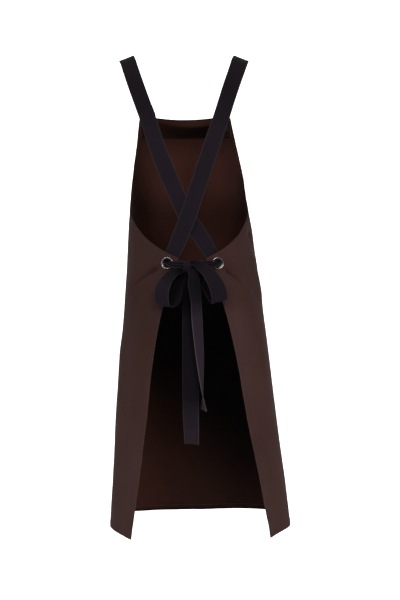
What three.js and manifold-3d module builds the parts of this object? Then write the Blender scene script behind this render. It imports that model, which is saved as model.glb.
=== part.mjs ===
// Cross-back bib apron of cotton canvas, tied behind with a bow and shaped as it is worn: one cloth panel,
// the facing inside its bib, two tape straps, two eyelets, and the knot, loops and tails of the bow.
// Millimetres, +Z up. The wearer faces +Y. The origin is on the shoulder line, between the straps.
import * as THREE from 'three';
import { mergeVertices } from 'three/addons/utils/BufferGeometryUtils.js';
import Module from 'manifold-3d';

const wasm = await Module();
wasm.setup();

// Cloth, cut flat
const clothWidth = 794; // the skirt from one flap's edge to the other's
const bibWidth = 224; // top edge of the bib
const bibHeight = 320; // top edge of the bib down to the flaps' top corners
const skirtLength = 592; // flaps' top corners down to the hem
const canvasWall = 1.4;
const hemWall = 2.4;
const sideHem = 9;
const bottomHem = 15;
const facingDepth = 41;
const facingWall = 1.2;
const facingPucker = 5; // how far the facing's lower edge stands off the bib

// Form of the worn cloth
const bibDrop = 121.5; // shoulder line down to the top edge of the bib
const hipHalfWidth = 198;
const frontDepth = 112;
const backDepth = 125;
const sway = 35; // the hem's middle stands this far to the right of the shoulders'
const hemTurn = 2.2; // degrees that the hem is turned, left flap further back
const foldWidth = 30;
const foldRise = 5;

// Tape straps
const tapeWidth = 34;
const tapeWall = 1.5;
const strapInset = 4; // outer edge of a strap from the corner of the bib
const sewnLength = 34; // stretch of a strap that lies on the facing
const shoulderHalf = 125;
const crossStand = 4.6; // the right strap's middle outside the left one's where they cross
const bunchWall = 4.6;

// Eyelets
const eyeletOuter = 24;
const eyeletBore = 15;
const eyeletBarrel = 0.8;
const eyeletFlange = 1.3;
const eyeletInset = 21; // eyelet's middle from the flap's edge
const eyeletDrop = 10; // eyelet's middle below the flap's top corner

// Bow
const knotShare = 0.4; // place of the knot between the left eyelet and the right one
const knotStand = 13; // knot's middle outside the line of the eyelets
const knotDrop = 7;
const knotLength = 17;
const knotDepth = 19;
const knotHeight = 25;
const loopReach = 65;
const loopDrop = 80;
const loopDepth = 26;
const leftTailLength = 364;
const rightTailLength = 293;

const seatGap = 0.35; // between a piece and what it rests on
const facingOff = canvasWall / 2 + hemWall / 4 + seatGap + facingWall / 2; // its middle inside the cloth's
const backDrop = bibDrop + bibHeight;
const clothHalf = clothWidth / 2;

// Level 0 is the top edge of the bib, level 1 the flaps' top corners and level 2 the hem.
// Shares: middle of sway, side of hipHalfWidth, turn of hemTurn, front of frontDepth, back of backDepth.
const sections = [
  { level: 0.0, middle: 0.02, side: 0.680, turn: 0, front: 0.965, back: 0.86, squareFront: 2.1, squareBack: 2.1 },
  { level: 0.4, middle: 0.22, side: 0.642, turn: 0, front: 0.990, back: 0.90, squareFront: 2.1, squareBack: 2.3 },
  { level: 0.6, middle: 0.28, side: 0.636, turn: 0, front: 0.995, back: 0.93, squareFront: 2.2, squareBack: 2.5 },
  { level: 0.8, middle: 0.39, side: 0.672, turn: 0.2, front: 1.000, back: 0.97, squareFront: 2.3, squareBack: 2.6 },
  { level: 1.0, middle: 0.50, side: 0.708, turn: 0.4, front: 1.000, back: 1.00, squareFront: 2.5, squareBack: 2.6 },
  { level: 1.12, middle: 0.56, side: 0.741, turn: 0.3, front: 1.000, back: 1.10, squareFront: 2.7, squareBack: 2.7 },
  { level: 1.19, middle: 0.61, side: 0.765, turn: 0.1, front: 1.005, back: 1.13, squareFront: 2.9, squareBack: 2.6 },
  { level: 1.32, middle: 0.68, side: 0.810, turn: 0.0, front: 1.010, back: 1.20, squareFront: 3.2, squareBack: 2.2 },
  { level: 1.55, middle: 0.78, side: 0.884, turn: 0.3, front: 1.025, back: 1.33, squareFront: 3.8, squareBack: 1.65 },
  { level: 1.78, middle: 0.92, side: 0.944, turn: 0.7, front: 1.035, back: 1.60, squareFront: 4.5, squareBack: 1.40 },
  { level: 2.0, middle: 1.00, side: 1.000, turn: 1, front: 1.045, back: 1.92, squareFront: 5.2, squareBack: 1.28 },
];

// The curved edge from the bib's top corner to the flap's top corner. Spread is the share of the
// way that the edge has gone out from the bib's half width to the skirt's.
const armhole = [
  { along: 0.0, level: 0.012, spread: 0.0 },
  { along: 0.15, level: 0.17, spread: 0.045 },
  { along: 0.3, level: 0.36, spread: 0.125 },
  { along: 0.45, level: 0.56, spread: 0.25 },
  { along: 0.58, level: 0.69, spread: 0.43 },
  { along: 0.7, level: 0.79, spread: 0.6 },
  { along: 0.8, level: 0.87, spread: 0.72 },
  { along: 0.9, level: 0.94, spread: 0.85 },
  { along: 1.0, level: 1.0, spread: 1.0 },
];

// Soft folds and drag creases: where each starts and ends across (share of the half width, left is
// negative) and down (level), its width as a share of foldWidth and its rise as one of foldRise.
const folds = [
  { across: -0.9, level: 1.03, toAcross: -0.6, toLevel: 1.11, wide: 0.7, rise: 0.7 },
  { across: -0.86, level: 1.06, toAcross: -0.66, toLevel: 1.15, wide: 0.6, rise: -0.6 },
  { across: 0.9, level: 1.04, toAcross: 0.76, toLevel: 1.12, wide: 0.6, rise: -0.7 },
  { across: 0.72, level: 0.98, toAcross: 0.64, toLevel: 1.12, wide: 0.8, rise: 0.5 },
  { across: 0.63, level: 0.84, toAcross: 0.6, toLevel: 0.95, wide: 0.6, rise: -1.0 },
  { across: -0.72, level: 1.35, toAcross: -0.78, toLevel: 2.0, wide: 1.2, rise: 0.9 },
  { across: -0.3, level: 1.5, toAcross: -0.34, toLevel: 2.0, wide: 1.6, rise: -0.9 },
  { across: 0.18, level: 1.6, toAcross: 0.22, toLevel: 2.0, wide: 1.7, rise: 0.7 },
  { across: 0.8, level: 1.3, toAcross: 0.76, toLevel: 2.0, wide: 1.1, rise: 1.0 },
  { across: -0.1, level: 0.15, toAcross: 0.0, toLevel: 0.7, wide: 1.8, rise: 0.7 },
];

function heightAt(level) {
  return level <= 1 ? -bibDrop - level * bibHeight : -backDrop - (level - 1) * skirtLength;
}

// One column of a table at any value of its first column, on a smooth curve through the rows.
function along(table, key, at, column) {
  let i = 0;
  while (i < table.length - 2 && at > table[i + 1][key]) i += 1;
  const slope = (j) => {
    const a = table[Math.max(j - 1, 0)];
    const b = table[Math.min(j + 1, table.length - 1)];
    return (b[column] - a[column]) / (b[key] - a[key]);
  };
  const low = table[i];
  const high = table[i + 1];
  const span = high[key] - low[key];
  const t = THREE.MathUtils.clamp((at - low[key]) / span, 0, 1);
  const ease = t * t * (3 - 2 * t);
  const rise = slope(i) * span * t * (1 - t) ** 2;
  const fall = slope(i + 1) * span * t * t * (1 - t);
  return low[column] + (high[column] - low[column]) * ease + rise - fall;
}

// Half of a level section, from the middle of the front round the right side to the middle of the back.
const sectionSamples = 220;
const sectionStore = new Map();
function sectionAt(level) {
  const key = level.toFixed(5);
  if (sectionStore.has(key)) return sectionStore.get(key);
  const side = along(sections, 'level', level, 'side') * hipHalfWidth;
  const front = along(sections, 'level', level, 'front') * frontDepth;
  const back = along(sections, 'level', level, 'back') * backDepth;
  const squareFront = along(sections, 'level', level, 'squareFront');
  const squareBack = along(sections, 'level', level, 'squareBack');
  const points = [];
  const run = [0];
  for (let i = 0; i <= sectionSamples; i += 1) {
    const turn = Math.PI * i / sectionSamples;
    const ahead = Math.cos(turn);
    const square = ahead >= 0 ? squareFront : squareBack;
    const depth = ahead >= 0 ? front : -back;
    const x = side * Math.abs(Math.sin(turn)) ** (2 / square);
    points.push(new THREE.Vector2(x, depth * Math.abs(ahead) ** (2 / square)));
    if (i > 0) run.push(run[i - 1] + points[i].distanceTo(points[i - 1]));
  }
  const middle = along(sections, 'level', level, 'middle') * sway;
  const turn = THREE.MathUtils.degToRad(along(sections, 'level', level, 'turn') * hemTurn);
  const section = { points, run, middle, turn };
  sectionStore.set(key, section);
  return section;
}

// Height of the cloth above its plain section, at a distance across and a level.
function foldAt(across, level) {
  const here = new THREE.Vector2(across, heightAt(level));
  let rise = 0;
  for (const fold of folds) {
    const from = new THREE.Vector2(fold.across * clothHalf, heightAt(fold.level));
    const run = new THREE.Vector2(fold.toAcross * clothHalf, heightAt(fold.toLevel)).sub(from);
    const share = THREE.MathUtils.clamp(here.clone().sub(from).dot(run) / run.lengthSq(), 0, 1);
    const off = here.distanceTo(from.addScaledVector(run, share)) / (fold.wide * foldWidth);
    rise += fold.rise * foldRise * Math.exp(-off * off);
  }
  return rise;
}

// The cloth's middle surface: across is the flat distance from the centre line, left negative.
function drape(across, level) {
  const { points, run, middle, turn } = sectionAt(level);
  const reach = Math.min(Math.abs(across), run[sectionSamples] - 0.01);
  let i = 0;
  while (run[i + 1] < reach) i += 1;
  const share = (reach - run[i]) / (run[i + 1] - run[i]);
  const flat = points[i].clone().lerp(points[i + 1], share);
  const way = points[i + 1].clone().sub(points[i]).normalize();
  const rise = foldAt(across, level);
  const side = across < 0 ? -1 : 1;
  const place = new THREE.Vector2(side * (flat.x - way.y * rise), flat.y + way.x * rise);
  place.rotateAround(new THREE.Vector2(), turn);
  return new THREE.Vector3(middle + place.x, place.y, heightAt(level));
}

function drapeNormal(across, level) {
  const wide = drape(across + 2, level).sub(drape(across - 2, level));
  const deep = drape(across, level + 0.006).sub(drape(across, level - 0.006));
  return wide.cross(deep).normalize();
}

// A place outside the cloth's middle surface, or inside it where the distance is negative.
function beside(across, level, out) {
  return drape(across, level).addScaledVector(drapeNormal(across, level), out);
}

// One closed body from rings of points: ring after ring, then the two ends.
function closedSweep(rings) {
  const size = rings[0].length;
  const positions = rings.flat().flatMap((point) => point.toArray());
  const faces = [];
  for (let r = 0; r < rings.length - 1; r += 1) {
    for (let k = 0; k < size; k += 1) {
      const a = r * size + k;
      const b = r * size + (k + 1) % size;
      faces.push(a, b, b + size, a, b + size, a + size);
    }
  }
  const last = (rings.length - 1) * size;
  for (let k = 0; k < size / 2 - 1; k += 1) {
    const far = size - 1 - k;
    faces.push(k, far, k + 1, k + 1, far, far - 1);
    faces.push(last + k, last + k + 1, last + far, last + k + 1, last + far - 1, last + far);
  }
  const geometry = new THREE.BufferGeometry();
  geometry.setAttribute('position', new THREE.Float32BufferAttribute(positions, 3));
  geometry.setIndex(faces);
  return facingOut(geometry);
}

function facingOut(geometry) {
  const at = geometry.getAttribute('position');
  const index = geometry.getIndex().array;
  const [a, b, c] = [new THREE.Vector3(), new THREE.Vector3(), new THREE.Vector3()];
  let volume = 0;
  for (let i = 0; i < index.length; i += 3) {
    a.fromBufferAttribute(at, index[i]);
    b.fromBufferAttribute(at, index[i + 1]);
    c.fromBufferAttribute(at, index[i + 2]);
    volume += a.dot(b.cross(c));
  }
  if (volume < 0) {
    for (let i = 0; i < index.length; i += 3) {
      [index[i], index[i + 1]] = [index[i + 1], index[i]];
    }
  }
  return geometry;
}

// A wall of cloth: rows of places { middle, normal, wall }, closed at its four edges.
function clothWall(rows) {
  const rings = rows.map((row) => {
    const outer = row.map((place) => place.middle.clone().addScaledVector(place.normal, place.wall / 2));
    const inner = row.map((place) => place.middle.clone().addScaledVector(place.normal, -place.wall / 2));
    return [...outer, ...inner.reverse()];
  });
  return closedSweep(rings);
}

// A tape through stations { at, face, wide, wall, curl }: face is the way its outer side looks, and
// curl is how far its two edges stand towards that side.
function ribbon(stations, step) {
  const route = new THREE.CatmullRomCurve3(stations.map((station) => station.at), false, 'centripetal');
  const columns = [-1, -0.5, 0, 0.5, 1];
  const rings = [];
  for (let i = 0; i < stations.length - 1; i += 1) {
    const from = stations[i];
    const to = stations[i + 1];
    const steps = Math.max(1, Math.round(from.at.distanceTo(to.at) / step));
    const lastOne = i === stations.length - 2 ? 1 : 0;
    for (let j = 0; j < steps + lastOne; j += 1) {
      const share = j / steps;
      const t = (i + share) / (stations.length - 1);
      const at = route.getPoint(t);
      const way = route.getTangent(t);
      const face = from.face.clone().lerp(to.face, share);
      const side = way.clone().cross(face).normalize();
      const out = side.clone().cross(way).normalize();
      const ease = share * share * (3 - 2 * share);
      const wide = THREE.MathUtils.lerp(from.wide, to.wide, ease);
      const wall = THREE.MathUtils.lerp(from.wall, to.wall, ease);
      const curl = THREE.MathUtils.lerp(from.curl ?? 0, to.curl ?? 0, ease);
      const place = (column, half) => {
        const thick = tapeWall + (wall - tapeWall) * (1 - column * column);
        const off = half * thick / 2 + curl * column * column;
        return at.clone().addScaledVector(side, column * wide / 2).addScaledVector(out, off);
      };
      rings.push([...columns.map((c) => place(c, 1)), ...columns.slice().reverse().map((c) => place(c, -1))]);
    }
  }
  return closedSweep(rings);
}

function solidOf(geometry) {
  const bare = geometry.clone();
  bare.deleteAttribute('normal');
  bare.deleteAttribute('uv');
  const merged = mergeVertices(bare, 1e-4);
  const vertProperties = new Float32Array(merged.getAttribute('position').array);
  const triVerts = new Uint32Array(merged.getIndex().array);
  return new wasm.Manifold(new wasm.Mesh({ numProp: 3, vertProperties, triVerts }));
}

function geometryOf(solid) {
  const mesh = solid.getMesh();
  const geometry = new THREE.BufferGeometry();
  geometry.setAttribute('position', new THREE.Float32BufferAttribute(mesh.vertProperties, 3));
  geometry.setIndex(new THREE.Uint32BufferAttribute(mesh.triVerts, 1));
  return geometry;
}

function cutBy(geometry, cutter) {
  return geometryOf(solidOf(geometry).subtract(solidOf(cutter)));
}

// Apron panel: rows run from edge to edge, and follow the armholes on the bib.
const bibRows = 13;
const skirtRows = 17;
const panelColumns = 38;

function panelRow(down) {
  const onBib = down < 1;
  const spread = onBib ? along(armhole, 'along', down, 'spread') : 1;
  const edgeLevel = onBib ? along(armhole, 'along', down, 'level') : down;
  return { down, edgeLevel, half: bibWidth / 2 + (clothHalf - bibWidth / 2) * spread };
}

// Level of a row at a distance across, bending from the row's middle to its place on the armhole.
function rowLevel(row, across) {
  return row.down + (row.edgeLevel - row.down) * Math.abs(across / row.half) ** 3;
}

function panelGeometry() {
  const downs = [];
  for (let i = 0; i < bibRows; i += 1) downs.push(i / bibRows);
  const hemLevel = 2 - bottomHem / skirtLength;
  for (let i = 0; i < skirtRows; i += 1) downs.push(1 + (hemLevel - 1) * (i / (skirtRows - 1)) ** 1.25);
  downs.push(2);
  const rows = downs.map((down) => {
    const row = panelRow(down);
    const places = [];
    for (let k = -1; k <= panelColumns + 1; k += 1) {
      const inner = (row.half - sideHem) * (2 * k / panelColumns - 1);
      const across = THREE.MathUtils.clamp(inner, -row.half, row.half);
      const atEdge = k < 0 || k > panelColumns;
      const shifted = atEdge ? Math.sign(inner) * row.half : across;
      const level = rowLevel(row, shifted);
      const wall = atEdge || down === 2 ? hemWall : canvasWall;
      places.push({ middle: drape(shifted, level), normal: drapeNormal(shifted, level), wall });
    }
    return places;
  });
  return clothWall(rows);
}

// Eyelet: one turned profile, with flanges outside and inside the cloth and a barrel through it.
const eyeletAcross = clothHalf - eyeletInset;
const eyeletLevel = 1 + eyeletDrop / skirtLength;
const eyeletSeat = canvasWall / 2 + seatGap + 0.25;

function eyeletProfile(clearance) {
  const bore = eyeletBore / 2 - clearance;
  const barrel = eyeletBore / 2 + eyeletBarrel + clearance;
  const rim = eyeletOuter / 2 + clearance;
  const seat = eyeletSeat - clearance;
  const top = eyeletSeat + eyeletFlange + clearance;
  const half = [
    [bore, top * 0.72], [bore + 0.9, top], [rim - 1.6, top], [rim, top - 0.7], [rim, seat], [barrel, seat],
  ];
  const outside = half.map(([r, y]) => new THREE.Vector2(r, y));
  const inside = half.map(([r, y]) => new THREE.Vector2(r, -y)).reverse();
  return [...outside, ...inside, outside[0].clone()];
}

const eyeletSides = 22;
function eyeletGeometry(clearance) {
  const lathe = new THREE.LatheGeometry(eyeletProfile(clearance).reverse(), eyeletSides);
  lathe.deleteAttribute('normal');
  lathe.deleteAttribute('uv');
  return facingOut(mergeVertices(lathe, 1e-4));
}

function eyeletPlace(side) {
  const at = drape(side * eyeletAcross, eyeletLevel);
  const out = drapeNormal(side * eyeletAcross, eyeletLevel);
  const turn = new THREE.Quaternion().setFromUnitVectors(new THREE.Vector3(0, 1, 0), out);
  return { at, out, turn };
}

const eyelets = { left: eyeletPlace(-1), right: eyeletPlace(1) };

// What the cloth leaves free round an eyelet: a hole for its barrel, and room for its flanges.
function eyeletCutters(place) {
  const hole = eyeletBore / 2 + eyeletBarrel + seatGap;
  const through = 2 * (eyeletSeat + eyeletFlange) + 4;
  const cutters = [
    new THREE.CylinderGeometry(hole, hole, through, eyeletSides), eyeletGeometry(seatGap - 0.05),
  ];
  return cutters.map((cutter) => cutter.applyQuaternion(place.turn).translate(...place.at.toArray()));
}

// Knot: a fat band wound round the middle, with its axis from eyelet to eyelet.
const knotMiddle = eyelets.left.at.clone().lerp(eyelets.right.at, knotShare)
  .add(new THREE.Vector3(0, -knotStand, -knotDrop));

function knotGeometry(clearance) {
  const profile = [
    [0, -0.5], [0.62, -0.5], [0.86, -0.4], [1, -0.15], [0.97, 0.12], [0.84, 0.38], [0.6, 0.5], [0, 0.5],
  ];
  const points = profile.map(([r, x]) => new THREE.Vector2(r, x));
  const lathe = new THREE.LatheGeometry(points, 20);
  lathe.deleteAttribute('normal');
  lathe.deleteAttribute('uv');
  lathe.rotateZ(-Math.PI / 2);
  lathe.scale(knotLength + 2 * clearance, knotDepth / 2 + clearance, knotHeight / 2 + clearance);
  lathe.translate(knotMiddle.x, knotMiddle.y, knotMiddle.z);
  return facingOut(mergeVertices(lathe, 1e-4));
}

// Straps, down the front and over the shoulder: shares of shoulderHalf, frontDepth and bibDrop.
const strapFront = [
  { across: 0.795, ahead: 0.81, drop: 0.62, faceOut: 0.30, faceAhead: 0.95, faceUp: 0.12 },
  { across: 0.905, ahead: 0.58, drop: 0.30, faceOut: 0.35, faceAhead: 0.72, faceUp: 0.55 },
  { across: 0.98, ahead: 0.26, drop: 0.10, faceOut: 0.36, faceAhead: 0.30, faceUp: 0.88 },
  { across: 1.0, ahead: 0.0, drop: 0.06, faceOut: 0.36, faceAhead: 0.0, faceUp: 0.93 },
];

// And down the back to the crossing: shares of shoulderHalf, backDepth and backDrop.
const strapBack = [
  { left: -0.955, right: 0.955, back: 0.26, drop: 0.045, faceOut: 0.34, faceBack: 0.50, faceUp: 0.79 },
  { left: -0.875, right: 0.885, back: 0.50, drop: 0.112, faceOut: 0.36, faceBack: 0.80, faceUp: 0.42 },
  { left: -0.785, right: 0.800, back: 0.64, drop: 0.186, faceOut: 0.38, faceBack: 0.90, faceUp: 0.20 },
  { left: -0.580, right: 0.625, back: 0.81, drop: 0.347, faceOut: 0.38, faceBack: 0.92, faceUp: 0.08 },
  { left: -0.410, right: 0.450, back: 0.89, drop: 0.494, faceOut: 0.32, faceBack: 0.94, faceUp: 0.0 },
  { left: -0.118, right: 0.215, back: 0.935, drop: 0.694, faceOut: 0.08, faceBack: 1.0, faceUp: 0.0 },
];

// From the crossing to the eyelet on the other side: shares of the way across and of the way down.
const strapAcross = [
  { left: 0.257, right: 0.274, back: 0.93, down: 0.338, faceOut: 0.0, faceBack: 1.0 },
  { left: 0.557, right: 0.516, back: 0.90, down: 0.587, faceOut: -0.15, faceBack: 1.0 },
];

// Gathered through the eyelet and along to the knot: the share of the way to the knot, and beside it
// the millimetres towards the knot, outside the eyelet's middle plane and up.
const strapThrough = [
  { share: 0, toward: 8, out: -7, up: 17, wide: 0.9, gathered: 0.1, faceOut: 1, faceUp: 0.1, faceIn: 0 },
  { share: 0, toward: -1.5, out: -7.5, up: 3, wide: 0.34, gathered: 0.9, faceOut: 0.5, faceUp: 0.9, faceIn: 0 },
  { share: 0, toward: -1.2, out: 0, up: 0, wide: 0.3, gathered: 1, faceOut: 0, faceUp: 1, faceIn: 0 },
  { share: 0, toward: -0.4, out: 5.5, up: -0.3, wide: 0.3, gathered: 1, faceOut: 0.45, faceUp: 0.7, faceIn: -0.4 },
  { share: 0.02, toward: 10.5, out: 10.5, up: -1.2, wide: 0.42, gathered: 0.9, faceOut: 1, faceUp: 0.1, faceIn: 0 },
  { share: 0.65, toward: 0, out: 11.5, up: 0, wide: 0.48, gathered: 0.8, faceOut: 1, faceUp: 0, faceIn: 0 },
];

function strapStations(side) {
  const stations = [];
  const onFacing = facingOff + facingWall / 2 + 2 * seatGap + tapeWall / 2;
  const across = side * (bibWidth / 2 - strapInset - tapeWidth / 2);
  for (const down of [sewnLength, sewnLength / 2, 0]) {
    const level = down / bibHeight;
    const face = drapeNormal(across, level);
    const middle = drape(across, level);
    const edges = [-1, 1].map((end) => drape(across + end * tapeWidth / 2, level).sub(middle).dot(face));
    const curl = (edges[0] + edges[1]) / 2;
    const at = middle.addScaledVector(face, -onFacing);
    stations.push({ at, face, wide: tapeWidth, wall: tapeWall, curl });
  }
  for (const row of strapFront) {
    const at = new THREE.Vector3(
      side * row.across * shoulderHalf, row.ahead * frontDepth, -row.drop * bibDrop);
    const face = new THREE.Vector3(side * row.faceOut, row.faceAhead, row.faceUp);
    stations.push({ at, face, wide: tapeWidth, wall: tapeWall });
  }
  for (const row of strapBack) {
    const outside = side > 0 ? crossStand * THREE.MathUtils.smoothstep(row.drop, 0.3, 0.6) : 0;
    const x = (side < 0 ? row.left : row.right) * shoulderHalf;
    const at = new THREE.Vector3(x, -row.back * backDepth - outside, -row.drop * backDrop);
    const face = new THREE.Vector3(side * row.faceOut, -row.faceBack, row.faceUp);
    stations.push({ at, face, wide: tapeWidth, wall: tapeWall });
  }
  const eyelet = side < 0 ? eyelets.right : eyelets.left;
  const crossing = stations.at(-1).at;
  for (const row of strapAcross) {
    const x = THREE.MathUtils.lerp(crossing.x, eyelet.at.x, side < 0 ? row.left : row.right);
    const z = THREE.MathUtils.lerp(crossing.z, eyelet.at.z, row.down);
    const at = new THREE.Vector3(x, -row.back * backDepth - (side > 0 ? crossStand : 0), z);
    const face = new THREE.Vector3(side * row.faceOut, -row.faceBack, 0);
    stations.push({ at, face, wide: tapeWidth, wall: tapeWall });
  }
  const knotEnd = knotMiddle.clone();
  knotEnd.x += -side * (knotLength / 2 + seatGap);
  const way = knotEnd.clone().sub(eyelet.at).setY(0);
  const toKnot = way.clone().normalize();
  for (const row of strapThrough) {
    const at = eyelet.at.clone().addScaledVector(way, row.share).addScaledVector(toKnot, row.toward);
    at.addScaledVector(eyelet.out, row.out).add(new THREE.Vector3(0, 0, row.up));
    const face = eyelet.out.clone().multiplyScalar(row.faceOut).add(new THREE.Vector3(0, 0, row.faceUp));
    face.addScaledVector(toKnot, row.faceIn);
    const wall = tapeWall + (bunchWall - tapeWall) * row.gathered;
    stations.push({ at, face, wide: row.wide * tapeWidth, wall });
  }
  knotEnd.z += 4;
  stations.push({ at: knotEnd, face: eyelet.out.clone(), wide: 0.45 * tapeWidth, wall: bunchWall });
  return stations;
}

// Loops and tails leave the knot gathered. Places are shares of the loop's reach, depth and drop
// from the knot's middle; wide is a share of the tape's width.
const loopLeft = [
  { x: -0.15, y: -0.26, z: -0.10, wide: 0.34, gathered: 0.8, faceX: -0.1, faceY: -1, faceZ: 0.3 },
  { x: -0.35, y: -0.54, z: -0.13, wide: 0.5, gathered: 0.5, faceX: -0.2, faceY: -0.9, faceZ: 0.5 },
  { x: -0.56, y: -0.8, z: -0.26, wide: 0.77, gathered: 0.1, faceX: -0.45, faceY: -0.85, faceZ: 0.45 },
  { x: -0.73, y: -0.96, z: -0.47, wide: 0.95, gathered: 0, faceX: -0.5, faceY: -0.85, faceZ: 0.15 },
  { x: -0.8, y: -1.0, z: -0.68, wide: 1, gathered: 0, faceX: -0.5, faceY: -0.87, faceZ: 0 },
  { x: -0.77, y: -0.92, z: -0.91, wide: 1, gathered: 0, faceX: -0.4, faceY: -0.7, faceZ: -0.5 },
  { x: -0.64, y: -0.74, z: -1.0, wide: 1, gathered: 0, faceX: 0, faceY: 0, faceZ: -1 },
  { x: -0.46, y: -0.5, z: -0.86, wide: 1, gathered: 0, faceX: 0.3, faceY: 0.8, faceZ: -0.45 },
  { x: -0.35, y: -0.27, z: -0.6, wide: 0.88, gathered: 0, faceX: 0.3, faceY: 0.95, faceZ: -0.1 },
  { x: -0.25, y: -0.05, z: -0.35, wide: 0.6, gathered: 0.2, faceX: 0.3, faceY: 0.95, faceZ: -0.1 },
  { x: -0.1, y: 0.08, z: -0.15, wide: 0.34, gathered: 0.8, faceX: 0.2, faceY: 0.95, faceZ: 0.1 },
];

const loopRight = [
  { x: 0.14, y: -0.22, z: 0.09, wide: 0.34, gathered: 0.8, faceX: 0.1, faceY: -0.9, faceZ: 0.5 },
  { x: 0.3, y: -0.6, z: 0.07, wide: 0.5, gathered: 0.5, faceX: 0.1, faceY: -0.9, faceZ: 0.5 },
  { x: 0.55, y: -0.85, z: -0.07, wide: 0.75, gathered: 0.1, faceX: 0.3, faceY: -0.85, faceZ: 0.45 },
  { x: 0.77, y: -0.96, z: -0.27, wide: 0.92, gathered: 0, faceX: 0.35, faceY: -0.88, faceZ: 0.25 },
  { x: 0.93, y: -1.0, z: -0.51, wide: 1, gathered: 0, faceX: 0.3, faceY: -0.93, faceZ: 0.1 },
  { x: 1.0, y: -0.92, z: -0.74, wide: 1, gathered: 0, faceX: 0.25, faceY: -0.85, faceZ: -0.4 },
  { x: 1.0, y: -0.68, z: -0.88, wide: 1, gathered: 0, faceX: 0.3, faceY: 0, faceZ: -0.95 },
  { x: 0.87, y: -0.42, z: -0.76, wide: 1, gathered: 0, faceX: -0.2, faceY: 0.85, faceZ: -0.4 },
  { x: 0.68, y: -0.16, z: -0.48, wide: 0.94, gathered: 0, faceX: -0.3, faceY: 0.93, faceZ: -0.1 },
  { x: 0.44, y: 0.06, z: -0.26, wide: 0.62, gathered: 0.2, faceX: -0.3, faceY: 0.93, faceZ: -0.2 },
  { x: 0.13, y: 0.12, z: -0.16, wide: 0.34, gathered: 0.8, faceX: -0.2, faceY: 0.95, faceZ: 0.1 },
];

// Tails: z is a share of the tail's length; x and y are shares of the loop's reach and depth.
const tailLeft = [
  { x: 0.04, y: -0.16, z: -0.025, wide: 0.34, gathered: 0.8, faceX: 0, faceY: -1, faceZ: 0 },
  { x: 0.09, y: -0.17, z: -0.095, wide: 0.7, gathered: 0.2, faceX: 0.1, faceY: -1, faceZ: 0 },
  { x: 0.09, y: -0.17, z: -0.19, wide: 0.95, gathered: 0, faceX: 0.1, faceY: -1, faceZ: 0 },
  { x: 0.1, y: -0.18, z: -0.415, wide: 1, gathered: 0, faceX: 0, faceY: -1, faceZ: 0 },
  { x: 0.1, y: -0.18, z: -0.64, wide: 1, gathered: 0, faceX: 0, faceY: -1, faceZ: 0 },
  { x: 0.11, y: -0.16, z: -0.84, wide: 1, gathered: 0, faceX: -0.25, faceY: -1, faceZ: 0 },
  { x: 0.14, y: -0.14, z: -1, wide: 1, gathered: 0, faceX: -0.5, faceY: -0.85, faceZ: 0 },
];

const tailRight = [
  { x: 0.07, y: -0.3, z: -0.012, wide: 0.34, gathered: 0.8, faceX: 0.2, faceY: -1, faceZ: 0.1 },
  { x: 0.2, y: -0.7, z: -0.05, wide: 0.7, gathered: 0.2, faceX: 0.5, faceY: -0.85, faceZ: 0 },
  { x: 0.21, y: -0.76, z: -0.12, wide: 0.95, gathered: 0, faceX: 0.67, faceY: -0.74, faceZ: 0 },
  { x: 0.27, y: -0.74, z: -0.22, wide: 1, gathered: 0, faceX: 0.79, faceY: -0.62, faceZ: 0 },
  { x: 0.31, y: -0.66, z: -0.37, wide: 1, gathered: 0, faceX: 0.78, faceY: -0.63, faceZ: 0 },
  { x: 0.4, y: -0.5, z: -0.61, wide: 1, gathered: 0, faceX: 0.88, faceY: -0.47, faceZ: 0 },
  { x: 0.46, y: -0.42, z: -0.83, wide: 1, gathered: 0, faceX: 0.99, faceY: -0.14, faceZ: 0 },
  { x: 0.49, y: -0.42, z: -0.9, wide: 1, gathered: 0, faceX: 1, faceY: 0, faceZ: 0 },
  { x: 0.51, y: -0.42, z: -1, wide: 1, gathered: 0, faceX: 0.93, faceY: 0.37, faceZ: 0 },
];

function bowStations(table, length) {
  return table.map((row) => {
    const away = new THREE.Vector3(row.x * loopReach, row.y * loopDepth, row.z * length);
    const wall = tapeWall + (bunchWall - tapeWall) * row.gathered;
    const face = new THREE.Vector3(row.faceX, row.faceY, row.faceZ);
    return { at: away.add(knotMiddle), face, wide: row.wide * tapeWidth, wall };
  });
}

// Facing: the band turned down inside the bib's top edge, its lower edge puckered off the cloth.
function facingGeometry() {
  const depthRows = 5;
  const facingColumns = 16;
  const rows = [];
  for (let i = 0; i <= depthRows; i += 1) {
    const down = i / depthRows;
    const row = panelRow(down * facingDepth / bibHeight);
    const half = row.half - seatGap;
    const places = [];
    for (let k = 0; k <= facingColumns; k += 1) {
      const share = 2 * k / facingColumns - 1;
      const level = rowLevel(row, share * half) + 0.004;
      const pucker = facingPucker * down * Math.max(0, 1 - (share / 0.6) ** 2) ** 2;
      const normal = drapeNormal(share * half, level);
      places.push({ middle: beside(share * half, level, -facingOff - pucker), normal, wall: facingWall });
    }
    rows.push(places);
  }
  return clothWall(rows);
}

// Finishes
const canvas = { color: 0x3e2b2a, roughness: 0.86, metalness: 0 };
const canvasInside = { color: 0x35201c, roughness: 0.88, metalness: 0 };
const tape = { color: 0x1d1820, roughness: 0.85, metalness: 0 };
const nickel = { color: 0xc9c9c6, roughness: 0.25, metalness: 1 };

const apron = new THREE.Group();

function addPiece(name, geometry, finish) {
  const mesh = new THREE.Mesh(geometry, new THREE.MeshStandardMaterial(finish));
  mesh.name = name;
  apron.add(mesh);
  return mesh;
}

let panel = panelGeometry();
for (const place of [eyelets.left, eyelets.right]) {
  for (const cutter of eyeletCutters(place)) panel = cutBy(panel, cutter);
}
addPiece('apron_panel', panel, canvas);
addPiece('bib_facing', facingGeometry(), canvasInside);

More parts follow.
